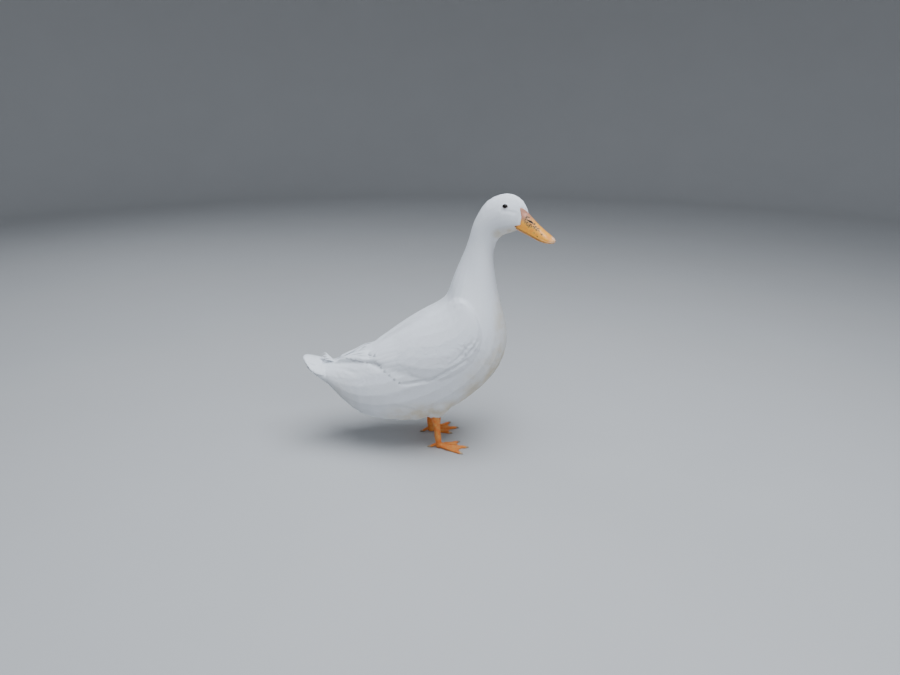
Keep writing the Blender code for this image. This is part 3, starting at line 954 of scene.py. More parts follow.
# ---------------------------------------------------------------- bill
@dataclass
class Bill:
    """The spatula-shaped bill, in two halves, with nostrils, flecks and the nail."""

    SIDES, TOP = 0.7, 0.85  # powers that square off the arch's sides and flatten its top

    guide: Guide
    finish: BillFinish = field(default_factory=BillFinish)
    nail_finish: NailFinish = field(default_factory=NailFinish)
    pitch: float = math.radians(23.5)
    base: tuple[float, float] = (0.140 + SHIFT, 0.4845)
    upturn: tuple[float, ...] = (0.0045, 0.046, 0.032)  # the tip's rise, its start and its length
    # height over the mouth line, and how far along the feathers of the face end there
    edge: Table = (
        (-0.0075, 0.004), (-0.003, 0.0015), (0.0019, -0.0026), (0.0086, 0.0057), (0.0231, 0.0007),
        (0.0356, -0.0095),
    )
    # the forehead's wedge of feathers: its tip, its fall, its half width, and where it starts, up and across
    wedge: tuple[float, ...] = (0.0088, 0.0200, 0.0108, 0.022, 0.0115)
    levels: tuple[float, float] = (-0.0075, 0.042)  # the heights that the whole bill lies between
    # along, half width, height, depth under the mouth line
    upper: Table = (
        (-0.014, 0.0150, 0.0440, 0), (-0.007, 0.0155, 0.0400, 0), (0.000, 0.0158, 0.0355, 0),
        (0.010, 0.0160, 0.0303, 0), (0.022, 0.0150, 0.0255, 0.0002), (0.036, 0.0145, 0.0208, 0.0006),
        (0.050, 0.0150, 0.0168, 0.0008), (0.063, 0.0156, 0.0126, 0.0008), (0.0725, 0.0122, 0.0086, 0.0006),
        (0.0755, 0.0094, 0.0070, 0.0007), (0.0775, 0.0060, 0.0051, 0.0008),
    )
    lower: Table = (
        (-0.006, 0.0116, -0.0004, 0.0064), (0.006, 0.0134, -0.0004, 0.0060), (0.022, 0.0132, -0.0006, 0.0058),
        (0.042, 0.0132, -0.0013, 0.0056), (0.058, 0.0132, -0.0013, 0.0048), (0.068, 0.0106, -0.0013, 0.0038),
        (0.0735, 0.0050, -0.0014, 0.0028),
    )
    # along, up from the mouth line, half length and half height of each black fleck, in millimetres
    flecks: Table = (
        (9.5, 26.8, 1.7, 1.6), (10.8, 23.3, 1.9, 1.3), (13.2, 27.3, 1.4, 1.0), (13.0, 18.0, 1.2, 1.4),
        (18.2, 14.9, 1.9, 1.2), (21.8, 15.3, 1.6, 1.3), (24.6, 17.4, 1.5, 1.1), (28.6, 21.0, 2.0, 1.2),
        (33.8, 18.0, 2.3, 1.1), (32.4, 15.4, 1.2, 1.0), (39.4, 16.6, 2.2, 1.0), (38.6, 13.6, 1.5, 1.0),
        (51.0, 11.4, 2.3, 1.1), (36.6, 7.2, 1.2, 1.0), (45.8, 4.2, 1.0, 0.8), (6.0, 20.6, 0.9, 0.9),
        (16.6, 19.0, 1.1, 0.9), (43.5, 14.6, 1.2, 0.7), (-0.3, 2.7, 1.9, 1.4), (22.4, 11.0, 0.8, 0.7),
    )
    # the same for the mottled places between the flecks
    smudges: Table = (
        (15.0, 20.5, 9.0, 6.0), (33.0, 16.0, 11.0, 3.6), (22.0, 14.5, 7.0, 3.0),
    )
    nostril: tuple[float, ...] = (20.4, 22.0, 5.6, 1.35)  # the same for the nostrils
    gape: tuple[float, ...] = (1.8, -1.2, 2.4, 1.5)  # and for the dark corner of the mouth
    nostril_slope: float = -0.10
    nostril_depth: float = 0.0016
    nostril_rim: float = 0.00018  # how far it stands out
    lip: float = 0.00035  # how far the upper half's edge stands out
    cap: float = 0.0014  # the length of the upper half's rounded end
    lower_cap: float = 0.0010
    slack: float = 0.0003  # how far the bill's base stands over the face
    buried: float = 0.0016  # how deep its hidden part lies
    nail: tuple[float, ...] = (0.0732, 0.0060, 0.0050)  # its middle, half length and half width
    nail_crown: float = 0.00055  # how far its middle stands out
    nail_thick: float = 0.0014

    def place(self, points: Array) -> Array:
        """Points from the bill's own axes, along it, to the left and up, in the duck's space.

        Args:
            points: places in the bill's own axes.

        Returns:
            The same places in the duck's space.
        """
        s, y, t = np.moveaxis(np.asarray(points, float), -1, 0)
        rise, start, length = self.upturn
        t = t + rise * (np.maximum(s - start, 0) / length) ** 2
        c, d = math.cos(self.pitch), math.sin(self.pitch)
        flat = np.stack([self.base[0] + s * c + t * d, y, self.base[1] - s * d + t * c], -1)
        return turn_head(flat)

    def own(self, points: Array) -> Array:
        """Points of the duck's space in the bill's own axes, leaving out the tip's upturn.

        Args:
            points: places in the duck's space.

        Returns:
            The same places in the bill's own axes.
        """
        x, y, z = np.moveaxis(turn_head(points, -1.0), -1, 0)
        x, z = x - self.base[0], z - self.base[1]
        c, d = math.cos(self.pitch), math.sin(self.pitch)
        return np.stack([x * c - z * d, y, x * d + z * c], -1)

    def border(self, y: Array, t: Array) -> Array:
        """How far along the bill its feathers end, at a place to the side and up.

        Args:
            y: how far to the side.
            t: how far up from the mouth line.

        Returns:
            How far along.
        """
        side = np.interp(t, *np.transpose(self.edge))
        tip, fall, half, start, across = self.wedge
        wedge = tip - fall * (np.abs(y) / half) ** 0.85
        return np.where((t > start) & (np.abs(y) < across), np.maximum(side, wedge), side)

    def bare(self, points: Array, spare: float = 0.0) -> Array:
        """Whether places on the duck belong to the bare bill, and not to the feathered face."""
        s, y, t = np.moveaxis(self.own(points), -1, 0)
        return (s > self.border(y, t) + spare) & (t > self.levels[0]) & (t < self.levels[1])

    def upper_ring(self, row: Array, angle: Array) -> tuple[Array, Array]:
        """The side and height of the upper half's arch at some angles from the mouth line.

        Args:
            row: the table's row there.
            angle: the angles.

        Returns:
            How far to the side, and how far up, each point lies.
        """
        rise = np.sin(angle)
        across = row[1] * np.copysign(np.abs(np.cos(angle)) ** self.SIDES, np.cos(angle))
        arch = row[2] * np.maximum(rise, 0) ** self.TOP
        return across, np.where(rise > 0, arch, np.maximum(rise * 2.2, -1) * row[3])

    def upper_rings(self, angles: Array) -> Array:
        """The upper half's rings of points in the bill's own axes, with its rounded end.

        Args:
            angles: the angles of each ring's points, from the mouth line.

        Returns:
            The points, with a ring to a row.
        """
        table = np.asarray(self.upper)
        rows = smooth_rows(table, np.linspace(0, 1, 118) * (len(table) - 1))
        shares = np.linspace(0, 1, 9)[1:]
        end = np.tile(rows[-1], (len(shares), 1))
        end[:, 0] += self.cap * (1 - (1 - shares) ** 2)
        end[:, 1:] *= ((1 - shares) * 0.985 + 0.015)[:, None]
        rows = np.vstack([rows, end])
        grid = np.empty((len(rows), len(angles), 3))
        for ring, row in zip(grid, rows):
            across, level = self.upper_ring(row, angles)
            lip = np.exp(-((level - 0.0008) / 0.0009) ** 2) * self.lip * ease(row[0], 0.004, 0.02)
            ring[:, 0], ring[:, 1], ring[:, 2] = row[0], across + np.copysign(lip, across), level
        return grid

    def upper_marks(self, s: Array, t: Array, hole: Array) -> dict[str, Array]:
        """The finish's numbers on the upper half.

        Args:
            s: how far along each place lies, in millimetres.
            t: how far up from the mouth line.
            hole: under 1 in the nostrils.

        Returns:
            Each number's name, and its value at each place.
        """
        # black inside the nostrils: painted shade in the holes
        dark = 1.45 - hole * 0.7
        for smudge in self.smudges:
            dark = np.maximum(dark, 0.40 * np.exp(-oval(s, t, *smudge)))
        for fleck in self.flecks:
            dark = np.maximum(dark, 1.05 - np.sqrt(oval(s, t, *fleck)) * 0.62)
        # the darkness in the seam is painted shade
        return {  # rosy towards the forehead, pale at the tip and along the mouth, dark in the seam
            "rosy": ease(t, 12, 26) * ease(-s, -34, -6) + 0.45 * ease(-s, -8, 2) * ease(t, 3, 8),
            "pale": ease(s, 66, 78) * 0.70 + 0.4 * np.exp(-((t - 2.2) / 0.8) ** 2) * ease(s, 40, 60),
            "dark": dark,
            "seam": np.exp(-((t + 0.1) / 0.75) ** 2) * ease(s, 0, 8),
        }

    def build_upper(self) -> None:
        """The upper half, with its nostrils sunk in and its base laid over the face."""
        angles = np.concatenate([np.linspace(0, math.pi, 96, endpoint=False),
                                 np.linspace(math.pi, 2 * math.pi, 22, endpoint=False)])
        grid = self.upper_rings(angles)
        top = np.broadcast_to(angles[None] < math.pi, grid.shape[:2])
        hidden = top & (grid[:, :, 0] < self.border(grid[:, :, 1], grid[:, :, 2]))
        s, t = grid[:, :, 0] * 1000, grid[:, :, 2] * 1000
        hole = oval(s, t - self.nostril_slope * (s - self.nostril[0]), *self.nostril)
        points = self.place(grid)
        sunk = np.clip(1 - hole, 0, 1) * self.nostril_depth
        raised = np.exp(-((np.sqrt(hole) - 1.35) / 0.25) ** 2) * self.nostril_rim
        points += grid_normals(points) * ((raised - sunk) * top)[..., None]
        on, out = self.guide.nearest(points)
        snapped = (ease(-grid[:, :, 0], -0.009, -0.002) * top)[..., None]
        points += (on + out * self.slack - points) * snapped
        points[hidden] = (on - out * self.buried)[hidden]
        body = grid_surface(points, self.upper_marks(s, t, hole))
        made = body.piece("upper_bill", self.finish.material(), Slot.BILL)
        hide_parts("bill_upper")

    def build_lower(self) -> None:
        """The lower half, a shallow tray with a soft middle between its arms."""
        angles = round_angles(72)
        table = np.asarray(self.lower)
        rows = smooth_rows(table, np.linspace(0, len(table) - 1, 90))
        shares = np.linspace(0, 1, 8)[1:]
        end = np.tile(rows[-1], (len(shares), 1))
        end[:, 0] += self.lower_cap * np.sin(shares * math.pi / 2)
        end[:, 1] *= np.sqrt(1 - shares**2) * 0.98 + 0.02
        rows = np.vstack([rows, end])
        grid = np.empty((len(rows), len(angles), 3))
        for i, (along, half, height, depth) in enumerate(rows):
            rise = np.sin(angles)
            level = np.where(rise > 0, height, height + (height + depth) * rise)
            across = half * np.copysign(np.abs(np.cos(angles)) ** self.SIDES, np.cos(angles))
            middle = np.exp(-((across / half) / 0.42) ** 2) * ease(-along, -0.058, -0.045)
            level = np.where(rise < 0, level + 0.0011 * middle, level)
            grid[i] = np.stack([np.full(len(angles), along), across, level], 1)
        s, t = grid[:, :, 0] * 1000, grid[:, :, 2] * 1000
        gape = 0.5 - np.sqrt(oval(s, t, *self.gape)) * 0.5
        # painted shade in the mouth seam, along the lower half's upper edge
        seam = np.exp(-((t + 0.6) / 0.35) ** 2)
        marks = {
            "rosy": np.full_like(s, 0.15), "pale": 0.25 + 0.4 * ease(s, 55, 72), "dark": gape, "seam": seam,
        }
        body = grid_surface(self.place(grid), marks)
        made = body.piece("lower_bill", self.finish.material(), Slot.BILL)
        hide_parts("bill_lower")

    def build_nail(self) -> None:
        """The nail: a shield that caps the tip and hooks a little over it."""
        table = np.asarray(self.upper)
        end = table[-1, 0]
        middle, long, wide = self.nail
        lengths, turns = np.linspace(-1, 1, 34), np.linspace(-1, 1, 26)
        grid = np.empty((2, len(lengths), len(turns), 3))
        for i, u in enumerate(lengths):
            s = middle + long * u
            half = wide * max(1 - abs(u) ** 2.6, 1e-4) ** (1 / 2.3)
            at = float(np.interp(min(s, end - 0.0001), table[:, 0], np.arange(len(table))))
            row = smooth_rows(table, np.array([at]))[0]
            over = max(s - end, 0) / 0.0017  # from the table's end to the nail's tip
            for j, v in enumerate(turns):
                y = half * v
                bend = min(abs(y) / row[1], 0.98)
                top = row[2] * (1 - bend ** (2 / self.SIDES)) ** (self.TOP / 2) * (1 - 0.75 * over**2)
                crown = self.nail_crown * (1 - abs(v) ** 3) * (1 - abs(u) ** 4)
                grid[0, i, j] = s, y, top + crown + 0.0001
                grid[1, i, j] = s - 0.0008 * max(u, 0), y * 0.96, top - self.nail_thick
        ring = np.concatenate([grid[0], grid[1][:, ::-1]], axis=1)
        made = grid_surface(self.place(ring)).piece("nail", self.nail_finish.material(), Slot.NAIL)
        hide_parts("bill_nail")

    def build(self) -> None:
        """Builds the whole bill."""
        self.build_upper()
        self.build_lower()
        self.build_nail()


def grid_normals(points: Array) -> Array:
    """Outward normals of rings of points, where each ring closes on itself.

    Args:
        points: the rings, as rows of points.

    Returns:
        A unit normal for each point.
    """
    along = np.gradient(points, axis=0)
    around = np.roll(points, -1, axis=1) - np.roll(points, 1, axis=1)
    normals = unit(np.cross(around, along))
    outward = points - points.mean(axis=1, keepdims=True)
    return normals * np.sign((normals * outward).sum(-1).sum())


def ring_faces(rows: int, around: int, closed: bool = False) -> Array:
    """Quads between rings of points.

    Args:
        rows: how many rings there are.
        around: the points in each ring, which closes on itself.
        closed: whether the last ring also joins the first.

    Returns:
        The quads.
    """
    i, j = np.meshgrid(np.arange(rows if closed else rows - 1), np.arange(around), indexing="ij")
    here, there, after = i * around, (i + 1) % rows * around, (j + 1) % around
    return np.stack([here + j, here + after, there + after, there + j], -1).reshape(-1, 4)


def grid_surface(points: Array, values: dict[str, Array] | None = None) -> Surface:
    """A closed surface through rings of points, with a fan over each end.

    Args:
        points: the rings, as rows of points.
        values: numbers for the same points.

    Returns:
        The surface, in triangles.
    """
    rows, around = points.shape[:2]
    quads = ring_faces(rows, around)
    flat = points.reshape(-1, 3)
    ends = np.stack([points[0].mean(0), points[-1].mean(0)])
    ring, after = np.arange(around), (np.arange(around) + 1) % around
    last = (rows - 1) * around
    first = np.stack([after, ring, np.full(around, len(flat))], 1)
    final = np.stack([last + ring, last + after, np.full(around, len(flat) + 1)], 1)
    faces = np.concatenate([quads[:, :3], quads[:, (0, 2, 3)], first, final])
    everything = np.concatenate([flat, ends])
    x, y, z = (everything[faces[:, k]] for k in range(3))
    if np.einsum("ij,ij->", x, np.cross(y, z)) < 0:
        faces = faces[:, ::-1]
    kept = {}
    for name, numbers in (values or {}).items():
        kept[name] = np.concatenate([numbers.ravel(), [numbers[0].mean(), numbers[-1].mean()]])
    return Surface(everything, faces, values=kept)


# ---------------------------------------------------------------- eyes
@dataclass
class Eye:
    """One eye: a dark ball and the lids round it."""

    side: Side
    guide: Guide
    finish: EyeFinish = field(default_factory=EyeFinish)
    lid_finish: LidFinish = field(default_factory=LidFinish)
    rim: float = 0.0039  # half of the opening's width
    bare_rim: float = 0.0011
    bulge: float = 0.0005  # how far the ball stands out from its solid
    face: tuple[float, float] = (0.0072, 0.0115)  # the gaze is square to the face this far round the eye
    almond: tuple[float, float] = (1.08, 0.90)  # the opening's width and height, to its rim
    corner: float = 0.00055  # how far its two corners reach
    cornea: tuple[float, float] = (0.05, 0.6)  # the ball's bulge at the gaze, and its width as an angle
    tucked: tuple[float, float] = (0.26, 0.34)  # how much smaller the ball is behind the lids, and how soon
    ridge: float = 0.00055  # the lids' height between their edges
    edge: tuple[float, float] = (0.0003, -0.0002)  # their height at the inner and the outer edge
    brow: float = 0.00035  # how much higher they are over the eye
    depth: tuple[float, float] = (0.0008, 0.0020)  # how deep their hidden side lies at those two edges

    def __post_init__(self) -> None:
        """Finds the ball's centre, size and gaze from the solid."""
        low, high = (np.array(corner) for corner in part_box(f"eye_{self.side.word}"))
        self.centre, self.radius = (low + high) / 2, float((high - low)[2] / 2)
        off = self.guide.points - self.centre
        outward = turn_head(self.centre + [0, 0.01 * self.side.value, 0]) - turn_head(self.centre)
        far = np.linalg.norm(off, axis=1)
        beside = (far > self.face[0]) & (far < self.face[1]) & (off @ outward > 0)
        self.gaze = unit(self.guide.normals[beside].mean(0))
        self.centre = self.centre + self.gaze * self.bulge
        self.ahead = unit(np.cross(self.gaze, [0, 0, 1.0])) * self.side.value
        self.up = np.cross(self.gaze, self.ahead) * -self.side.value

    def opening(self, turn: Array) -> Array:
        """The opening's radius at a turn from ahead to up: a wide almond with two corners.

        Args:
            turn: angles round the gaze.

        Returns:
            A radius for each angle.
        """
        across, rise = np.cos(turn), np.sin(turn)
        corners = self.corner * (np.abs(across) ** 14)
        return self.rim * (self.almond[0] * across**2 + self.almond[1] * rise**2) + corners

    def bare(self, places: Array) -> Array:
        """Whether places lie on the eye or its rim, where no feather grows or reaches.

        Args:
            places: places on the duck.

        Returns:
            True for each place that does.
        """
        off = places - self.centre
        flat = off - (off @ self.gaze)[..., None] * self.gaze
        ahead, up = flat @ self.ahead, flat @ self.up
        ring = self.opening(np.arctan2(up, ahead)) + self.bare_rim * 0.6
        return (np.hypot(ahead, up) < ring) & (off @ self.gaze > 0)

    def build(self) -> None:
        """Builds the ball and the lids."""
        theta = np.linspace(0.02, math.pi - 0.02, 48)  # from the gaze, with both poles left to the fans
        turns = round_angles(64)
        axes = np.stack([self.ahead, self.up, self.gaze])
        ball = np.empty((len(theta), len(turns), 3))
        rim = np.arcsin(np.minimum(self.opening(turns) / self.radius, 0.95))
        for i, angle in enumerate(theta):
            cornea = self.cornea[0] * math.exp(-((angle / self.cornea[1]) ** 2))
            tucked = self.tucked[0] * ease(angle - rim, 0.0, self.tucked[1])
            size = self.radius * (1 + cornea - tucked)
            local = np.stack([np.sin(angle) * np.cos(turns), np.sin(angle) * np.sin(turns),
                              np.full(len(turns), math.cos(angle))], 1) * size[:, None]
            ball[i] = self.centre + local @ axes
        outward = np.repeat(theta[:, None] / math.pi, len(turns), 1)
        made = grid_surface(ball, {"outward": outward}).piece(
            f"eyeball_{self.side.word}", self.finish.material(), Slot.EYES)
        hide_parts(f"eye_{self.side.word}")
        self.build_lids(turns, axes)

    def build_lids(self, turns: Array, axes: Array) -> None:
        """A rounded bare ridge that rests on the ball and runs out into the feathers.

        Args:
            turns: angles round the gaze.
            axes: the axes ahead, up and along the gaze.
        """
        profile = np.linspace(0, 1, 14)
        rings = np.empty((2 * len(profile), len(turns), 3))
        rim = np.empty(rings.shape[:2])
        opening = self.opening(turns)
        flat = np.stack([np.cos(turns), np.sin(turns), np.zeros(len(turns))], 1) @ axes
        ball_rise = np.sqrt(np.maximum((self.radius * 1.01) ** 2 - opening**2, 0))
        inner = self.centre + flat * opening[:, None] + self.gaze * ball_rise[:, None]
        outer, out = self.guide.nearest(inner + flat * self.bare_rim)
        for i, share in enumerate(profile):
            arch = math.sin(math.pi * share)
            ridge = self.ridge * arch + between(*self.edge, share)
            brow = self.brow * np.clip(np.sin(turns), 0, 1) * arch
            base = inner + (outer - inner) * share
            rings[i] = base + unit(out * share + self.gaze * (1 - share)) * (ridge + brow)[:, None]
            rings[-1 - i] = base - self.gaze * between(*self.depth, share)
            rim[i] = rim[-1 - i] = 1 - share
        closed = np.swapaxes(rings, 0, 1)
        order = (0, 3, 2, 1) if self.side is Side.RIGHT else (1, 2, 3, 0)
        faces = ring_faces(*closed.shape[:2], closed=True)[:, order]
        Surface(closed.reshape(-1, 3), faces, values={"rim": rim.T.ravel()}).piece(
            f"lids_{self.side.word}", self.lid_finish.material(), Slot.FEATHERS)


# ---------------------------------------------------------------- skin
@dataclass
class BodySkin:
    """One skin under the whole coat, in place of every solid of flesh."""

    guide: Guide
    bill: Bill
    finish: PlumageFinish = field(default_factory=PlumageFinish)
    # the coat's depth along the body, from the bill to the tail
    depth_at: tuple[float, ...] = (0.0, 0.10, 0.17, 0.25, 0.34, 0.45, 0.60, 0.90, 1.0)
    depths: tuple[float, ...] = (0.0007, 0.0006, 0.0008, 0.0012, 0.0020, 0.0031, 0.0040, 0.0040, 0.0028)
    under_bill: tuple[float, float] = (0.0036, 0.007)  # its depth there, and how far inside the bill's edge
    share: float = 0.3  # of the body's thickness, which no depth goes beyond
    rounds: int = 6  # of smoothing the depth

    def depth(self, points: Array) -> Array:
        """The coat's depth over some places."""
        _, along, _ = self.guide.spine.read(points)
        return np.interp(along, self.depth_at, self.depths)

    def build(self) -> None:
        """Lays the skin inside the guide surface by the coat's depth, and deeper under the bill."""
        guide = self.guide
        buried, inside = self.under_bill
        depth = np.where(self.bill.bare(guide.points, inside), buried, self.depth(guide.points))
        depth = np.minimum(depth, self.share * guide.thickness())
        for _ in range(self.rounds):
            depth = 0.5 * depth + 0.5 * neighbour_mean(depth, guide.faces, ((0, 1), (1, 2), (2, 0)))
        points = guide.points - guide.normals * depth[:, None]
        tone = np.full(len(points), 0.5)
        made = Surface(points, guide.faces, values={"tone": tone}).piece(
            "skin", self.finish.material("down", bumpy=True), Slot.FEATHERS)
        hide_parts(*Guide.FLESH)


# ---------------------------------------------------------------- feathers
def baked(round_it: Array, along: Array, patch: Array) -> Array:
    """Feathers' places on the baking map.

    Args:
        round_it: each root's angle round the spine, from 0 to 1.
        along: its way along the spine, from 0 to 1.
        patch: the places of one feather's points in a patch of its own.

    Returns:
        A row of places for each feather.
    """
    root = np.stack([round_it, along], 1) * MAP_SPAN + MAP_EDGE
    return root[:, None] + patch[None] * PATCH


class FeatherShape:
    """A feather's vane in its own measures: share of its length, and of its half width."""

    NARROWED = 0.82  # a tip's way out from the middle, to that of the barbs before it

    def __init__(self, rows: tuple[float, ...], widths: tuple[float, ...], columns: int,
                 tips: tuple[float, ...]) -> None:
        """Builds the pattern.

        Args:
            rows: how far along each row of points lies.
            widths: the vane's half width at each row.
            columns: the points across.
            tips: how far along the loose barbs reach, one number for each gap between columns.
        """
        across = np.linspace(-1, 1, columns)
        u = np.repeat(rows, columns)
        v = (np.array(widths)[:, None] * across).ravel()
        faces = []
        for i in range(len(rows) - 1):
            for j in range(columns - 1):
                a = i * columns + j
                faces += [(a, a + columns + 1, a + 1), (a, a + columns, a + columns + 1)]
        last = (len(rows) - 1) * columns
        tip_u, tip_v = [], []
        for j, reach in enumerate(tips):
            middle = (across[j] + across[j + 1]) / 2
            faces.append((last + j + 1, last + j, len(u) + j))
            tip_u.append(reach)
            tip_v.append(middle * widths[-1] * self.NARROWED)
        self.u, self.v = np.concatenate([u, tip_u]), np.concatenate([v, tip_v])
        self.faces = np.array(faces)


FACE_FEATHER = FeatherShape((0, 0.45, 0.84), (0.45, 1.0, 0.80), 3, (1.0, 0.98))
BODY_FEATHERS = (
    FeatherShape((0, 0.30, 0.60, 0.87), (0.40, 0.92, 1.0, 0.80), 5, (0.95, 1.0, 0.99, 0.94)),
    FeatherShape((0, 0.30, 0.60, 0.86), (0.40, 0.90, 1.0, 0.82), 5, (0.93, 0.99, 1.0, 0.96)),
    FeatherShape((0, 0.30, 0.62, 0.88), (0.40, 0.92, 0.98, 0.78), 5, (0.96, 1.0, 1.0, 0.94)),
)


@dataclass(frozen=True)
class Ruffle:
    """A place where the feathers stand a little apart."""

    place: Place
    radius: float
    lift: float
    turn: float  # how far they swing upwards from their lie, in degrees
    both_sides: bool = False

    def share(self, points: Array) -> Array:
        """How strongly it acts on some places.

        Args:
            points: places on the duck.

        Returns:
            1 in its middle, falling to 0 round it.
        """
        near = np.array(points, float)
        if self.both_sides:
            near[:, 1] = -np.abs(near[:, 1])
        return np.exp(-((np.linalg.norm(near - self.place, axis=1) / self.radius) ** 2))


@dataclass(frozen=True)
class Tract:
    """Feathers of one kind over one part of the duck."""

    name: str
    start: float  # along the spine
    end: float
    spacing: float
    lengths: tuple[float, float]  # at the start and the end
    slim: float  # width to length
    lift: float
    sway: float  # random turn, in degrees
    fine: bool = False


@dataclass
class Plumage:
    """The contour feathers over the whole body, in tracts."""

    guide: Guide
    bill: Bill
    skin: BodySkin
    eyes: list[Eye]
    finish: PlumageFinish = field(default_factory=PlumageFinish)
    tracts: tuple[Tract, ...] = (
        Tract("face", 0.085, 0.235, 0.00130, (0.0040, 0.0066), 0.50, 0.00002, 5, True),
        Tract("neck_upper", 0.235, 0.335, 0.00165, (0.0070, 0.0105), 0.46, 0.00003, 5, True),
        Tract("neck_lower", 0.335, 0.440, 0.0022, (0.0110, 0.0160), 0.46, 0.00004, 5),
        Tract("breast", 0.440, 0.560, 0.0028, (0.0165, 0.0210), 0.46, 0.00005, 5),
        Tract("body", 0.560, 0.760, 0.0031, (0.0215, 0.0240), 0.46, 0.00006, 5),
        Tract("rump", 0.760, 1.010, 0.0031, (0.0240, 0.0230), 0.40, 0.00010, 6),
    )
    ruffles: tuple[Ruffle, ...] = (
        Ruffle((0.098, -0.086, 0.268), 0.020, 0.0016, 14),
        Ruffle((0.066, -0.093, 0.232), 0.018, 0.0014, 12),
        Ruffle((-0.098, -0.070, 0.211), 0.015, 0.0030, 34),
        Ruffle((-0.117, -0.060, 0.222), 0.012, 0.0024, 30),
        Ruffle((-0.158, -0.050, 0.185), 0.017, 0.0026, 16),
        Ruffle((-0.040, -0.065, 0.110), 0.024, 0.0001, -12, True),
        Ruffle((0.010, -0.050, 0.100), 0.020, 0.0001, -10, True),
    )
    lowest: float = 0.058  # no feather grows lower than this
    tries: float = 3.2  # how many places are strewn on a square of the spacing
    apart: float = 0.86  # how near the kept ones may come, to the spacing
    uneven: tuple[float, float] = (0.85, 1.15)  # how much lengths and widths differ
    root_sink: float = 0.0003  # how far the wide feathers' roots go under the skin
    # where the wing's coverts end: a place along, its height, and how fast the edge runs back above it
    wing_edge: tuple[float, ...] = (-0.012, 0.20, 0.45)
    back_gap: float = 0.028  # how far off the middle of the back that edge starts
    down_legs: Place = (-0.35, 0, -1.0)  # the way that the thighs' feathers point
    tousle: float = 14  # a ruffle's random turn, in degrees
    fan_edges: tuple[float, float] = (-0.2215, -0.2300)  # where the tail takes over, above and below
    seed: int = 11

    def thighs(self) -> list[tuple[Array, Array]]:
        """The lowest and the highest corner of each thigh."""
        return [tuple(np.array(corner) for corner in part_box(f"thigh_{side.word}")) for side in Side]

    def roots(self, tract: Tract, rng: np.random.Generator) -> Array:
        """Evenly strewn places on the guide surface for one tract.

        Args:
            tract: the part of the duck.
            rng: the source of chance.

        Returns:
            The places, no two much nearer than the tract's spacing.
        """
        guide = self.guide
        corners = guide.points[guide.faces]
        middles = corners.mean(1)
        _, along, _ = guide.spine.read(middles)
        one, other = corners[:, 1] - corners[:, 0], corners[:, 2] - corners[:, 0]
        area = np.linalg.norm(np.cross(one, other), axis=1) / 2
        area = np.where((along >= tract.start) & (along < tract.end), area, 0)
        count = int(area.sum() / tract.spacing**2 * self.tries)
        face = rng.choice(len(area), count, p=area / area.sum())
        a, b = rng.random((2, count))
        flip = a + b > 1
        a, b = np.where(flip, 1 - a, a), np.where(flip, 1 - b, b)
        places = corners[face, 0] + one[face] * a[:, None] + other[face] * b[:, None]
        places = places[self.feathered(places)]
        kept: list[int] = []
        grid: dict[tuple[int, int, int], list[int]] = {}
        size, rows = tract.spacing, places.tolist()
        cells = np.floor(places / size).astype(int).tolist()
        around = [(i, j, k) for i in (-1, 0, 1) for j in (-1, 0, 1) for k in (-1, 0, 1)]
        limit = (size * self.apart) ** 2
        for n, ((x, y, z), (i, j, k)) in enumerate(zip(rows, cells)):
            near = (m for di, dj, dk in around for m in grid.get((i + di, j + dj, k + dk), ()))
            gaps = ((rows[m][0] - x) ** 2 + (rows[m][1] - y) ** 2 + (rows[m][2] - z) ** 2 for m in near)
            if all(gap > limit for gap in gaps):
                kept.append(n)
                grid.setdefault((i, j, k), []).append(n)
        return places[kept]

    def feathered(self, places: Array) -> Array:
        """Which places carry contour feathers, and not the bill, an eye, a bare leg or a long feather.

        Args:
            places: places on the guide surface.

        Returns:
            True for each place that does.
        """
        x, y, z = places.T
        clear = ~self.bill.bare(places, -0.0004) & (z > self.lowest)
        for eye in self.eyes:
            clear &= ~eye.bare(places)
        for low, high in self.thighs():
            beside = np.abs(y - (low[1] + high[1]) / 2) < 0.03
            clear &= ~((z < low[2] + 0.002) & beside)
        owner = self.guide.owners(places)
        on_wing = np.isin(owner, [i for i, name in enumerate(self.guide.names) if name.startswith("wing")])
        ragged = 0.009 * np.sin(190 * z + 60 * x) + 0.007 * np.sin(430 * z - 150 * x)
        end, level, slope = self.wing_edge
        behind = x + slope * (z - level) < end + ragged
        clear &= ~(on_wing & behind & (np.abs(y) > self.back_gap))
        _, normals = self.guide.nearest(places)
        on_fan = x < np.where(normals[:, 2] > -0.15, *self.fan_edges)
        return clear & ~on_fan

    def lie(self, places: Array, normals: Array) -> Array:
        """The way that feathers point, along the surface.

        Args:
            places: the feathers' roots.
            normals: the surface's normals there.

        Returns:
            A unit direction for each feather.
        """
        direction, _, _ = self.guide.spine.read(places)
        for low, high in self.thighs():
            middle = (low + high) / 2
            off = np.hypot(places[:, 0] - middle[0], places[:, 1] - middle[1])
            down = ease(-off, -0.036, -0.016) * ease(-places[:, 2], -0.125, -0.095)  # 1 on the lower thigh
            direction = direction * (1 - down)[:, None] + np.array(self.down_legs) * down[:, None]
        direction -= (direction * normals).sum(1, keepdims=True) * normals
        return unit(direction)

    def trimmed(self, places: Array, ahead: Array, length: Array) -> Array:
        """Lengths cut short where a feather would reach over an eye.

        Args:
            places: the feathers' roots.
            ahead: the way each one points.
            length: their full lengths.

        Returns:
            The lengths that are left.
        """
        share = np.ones(len(places))
        for part in np.linspace(1.0, 0.1, 10):
            reach = places + ahead * (length * part)[:, None]
            for eye in self.eyes:
                share = np.where(eye.bare(reach), part - 0.1, share)
        return length * np.maximum(share, 0.1)

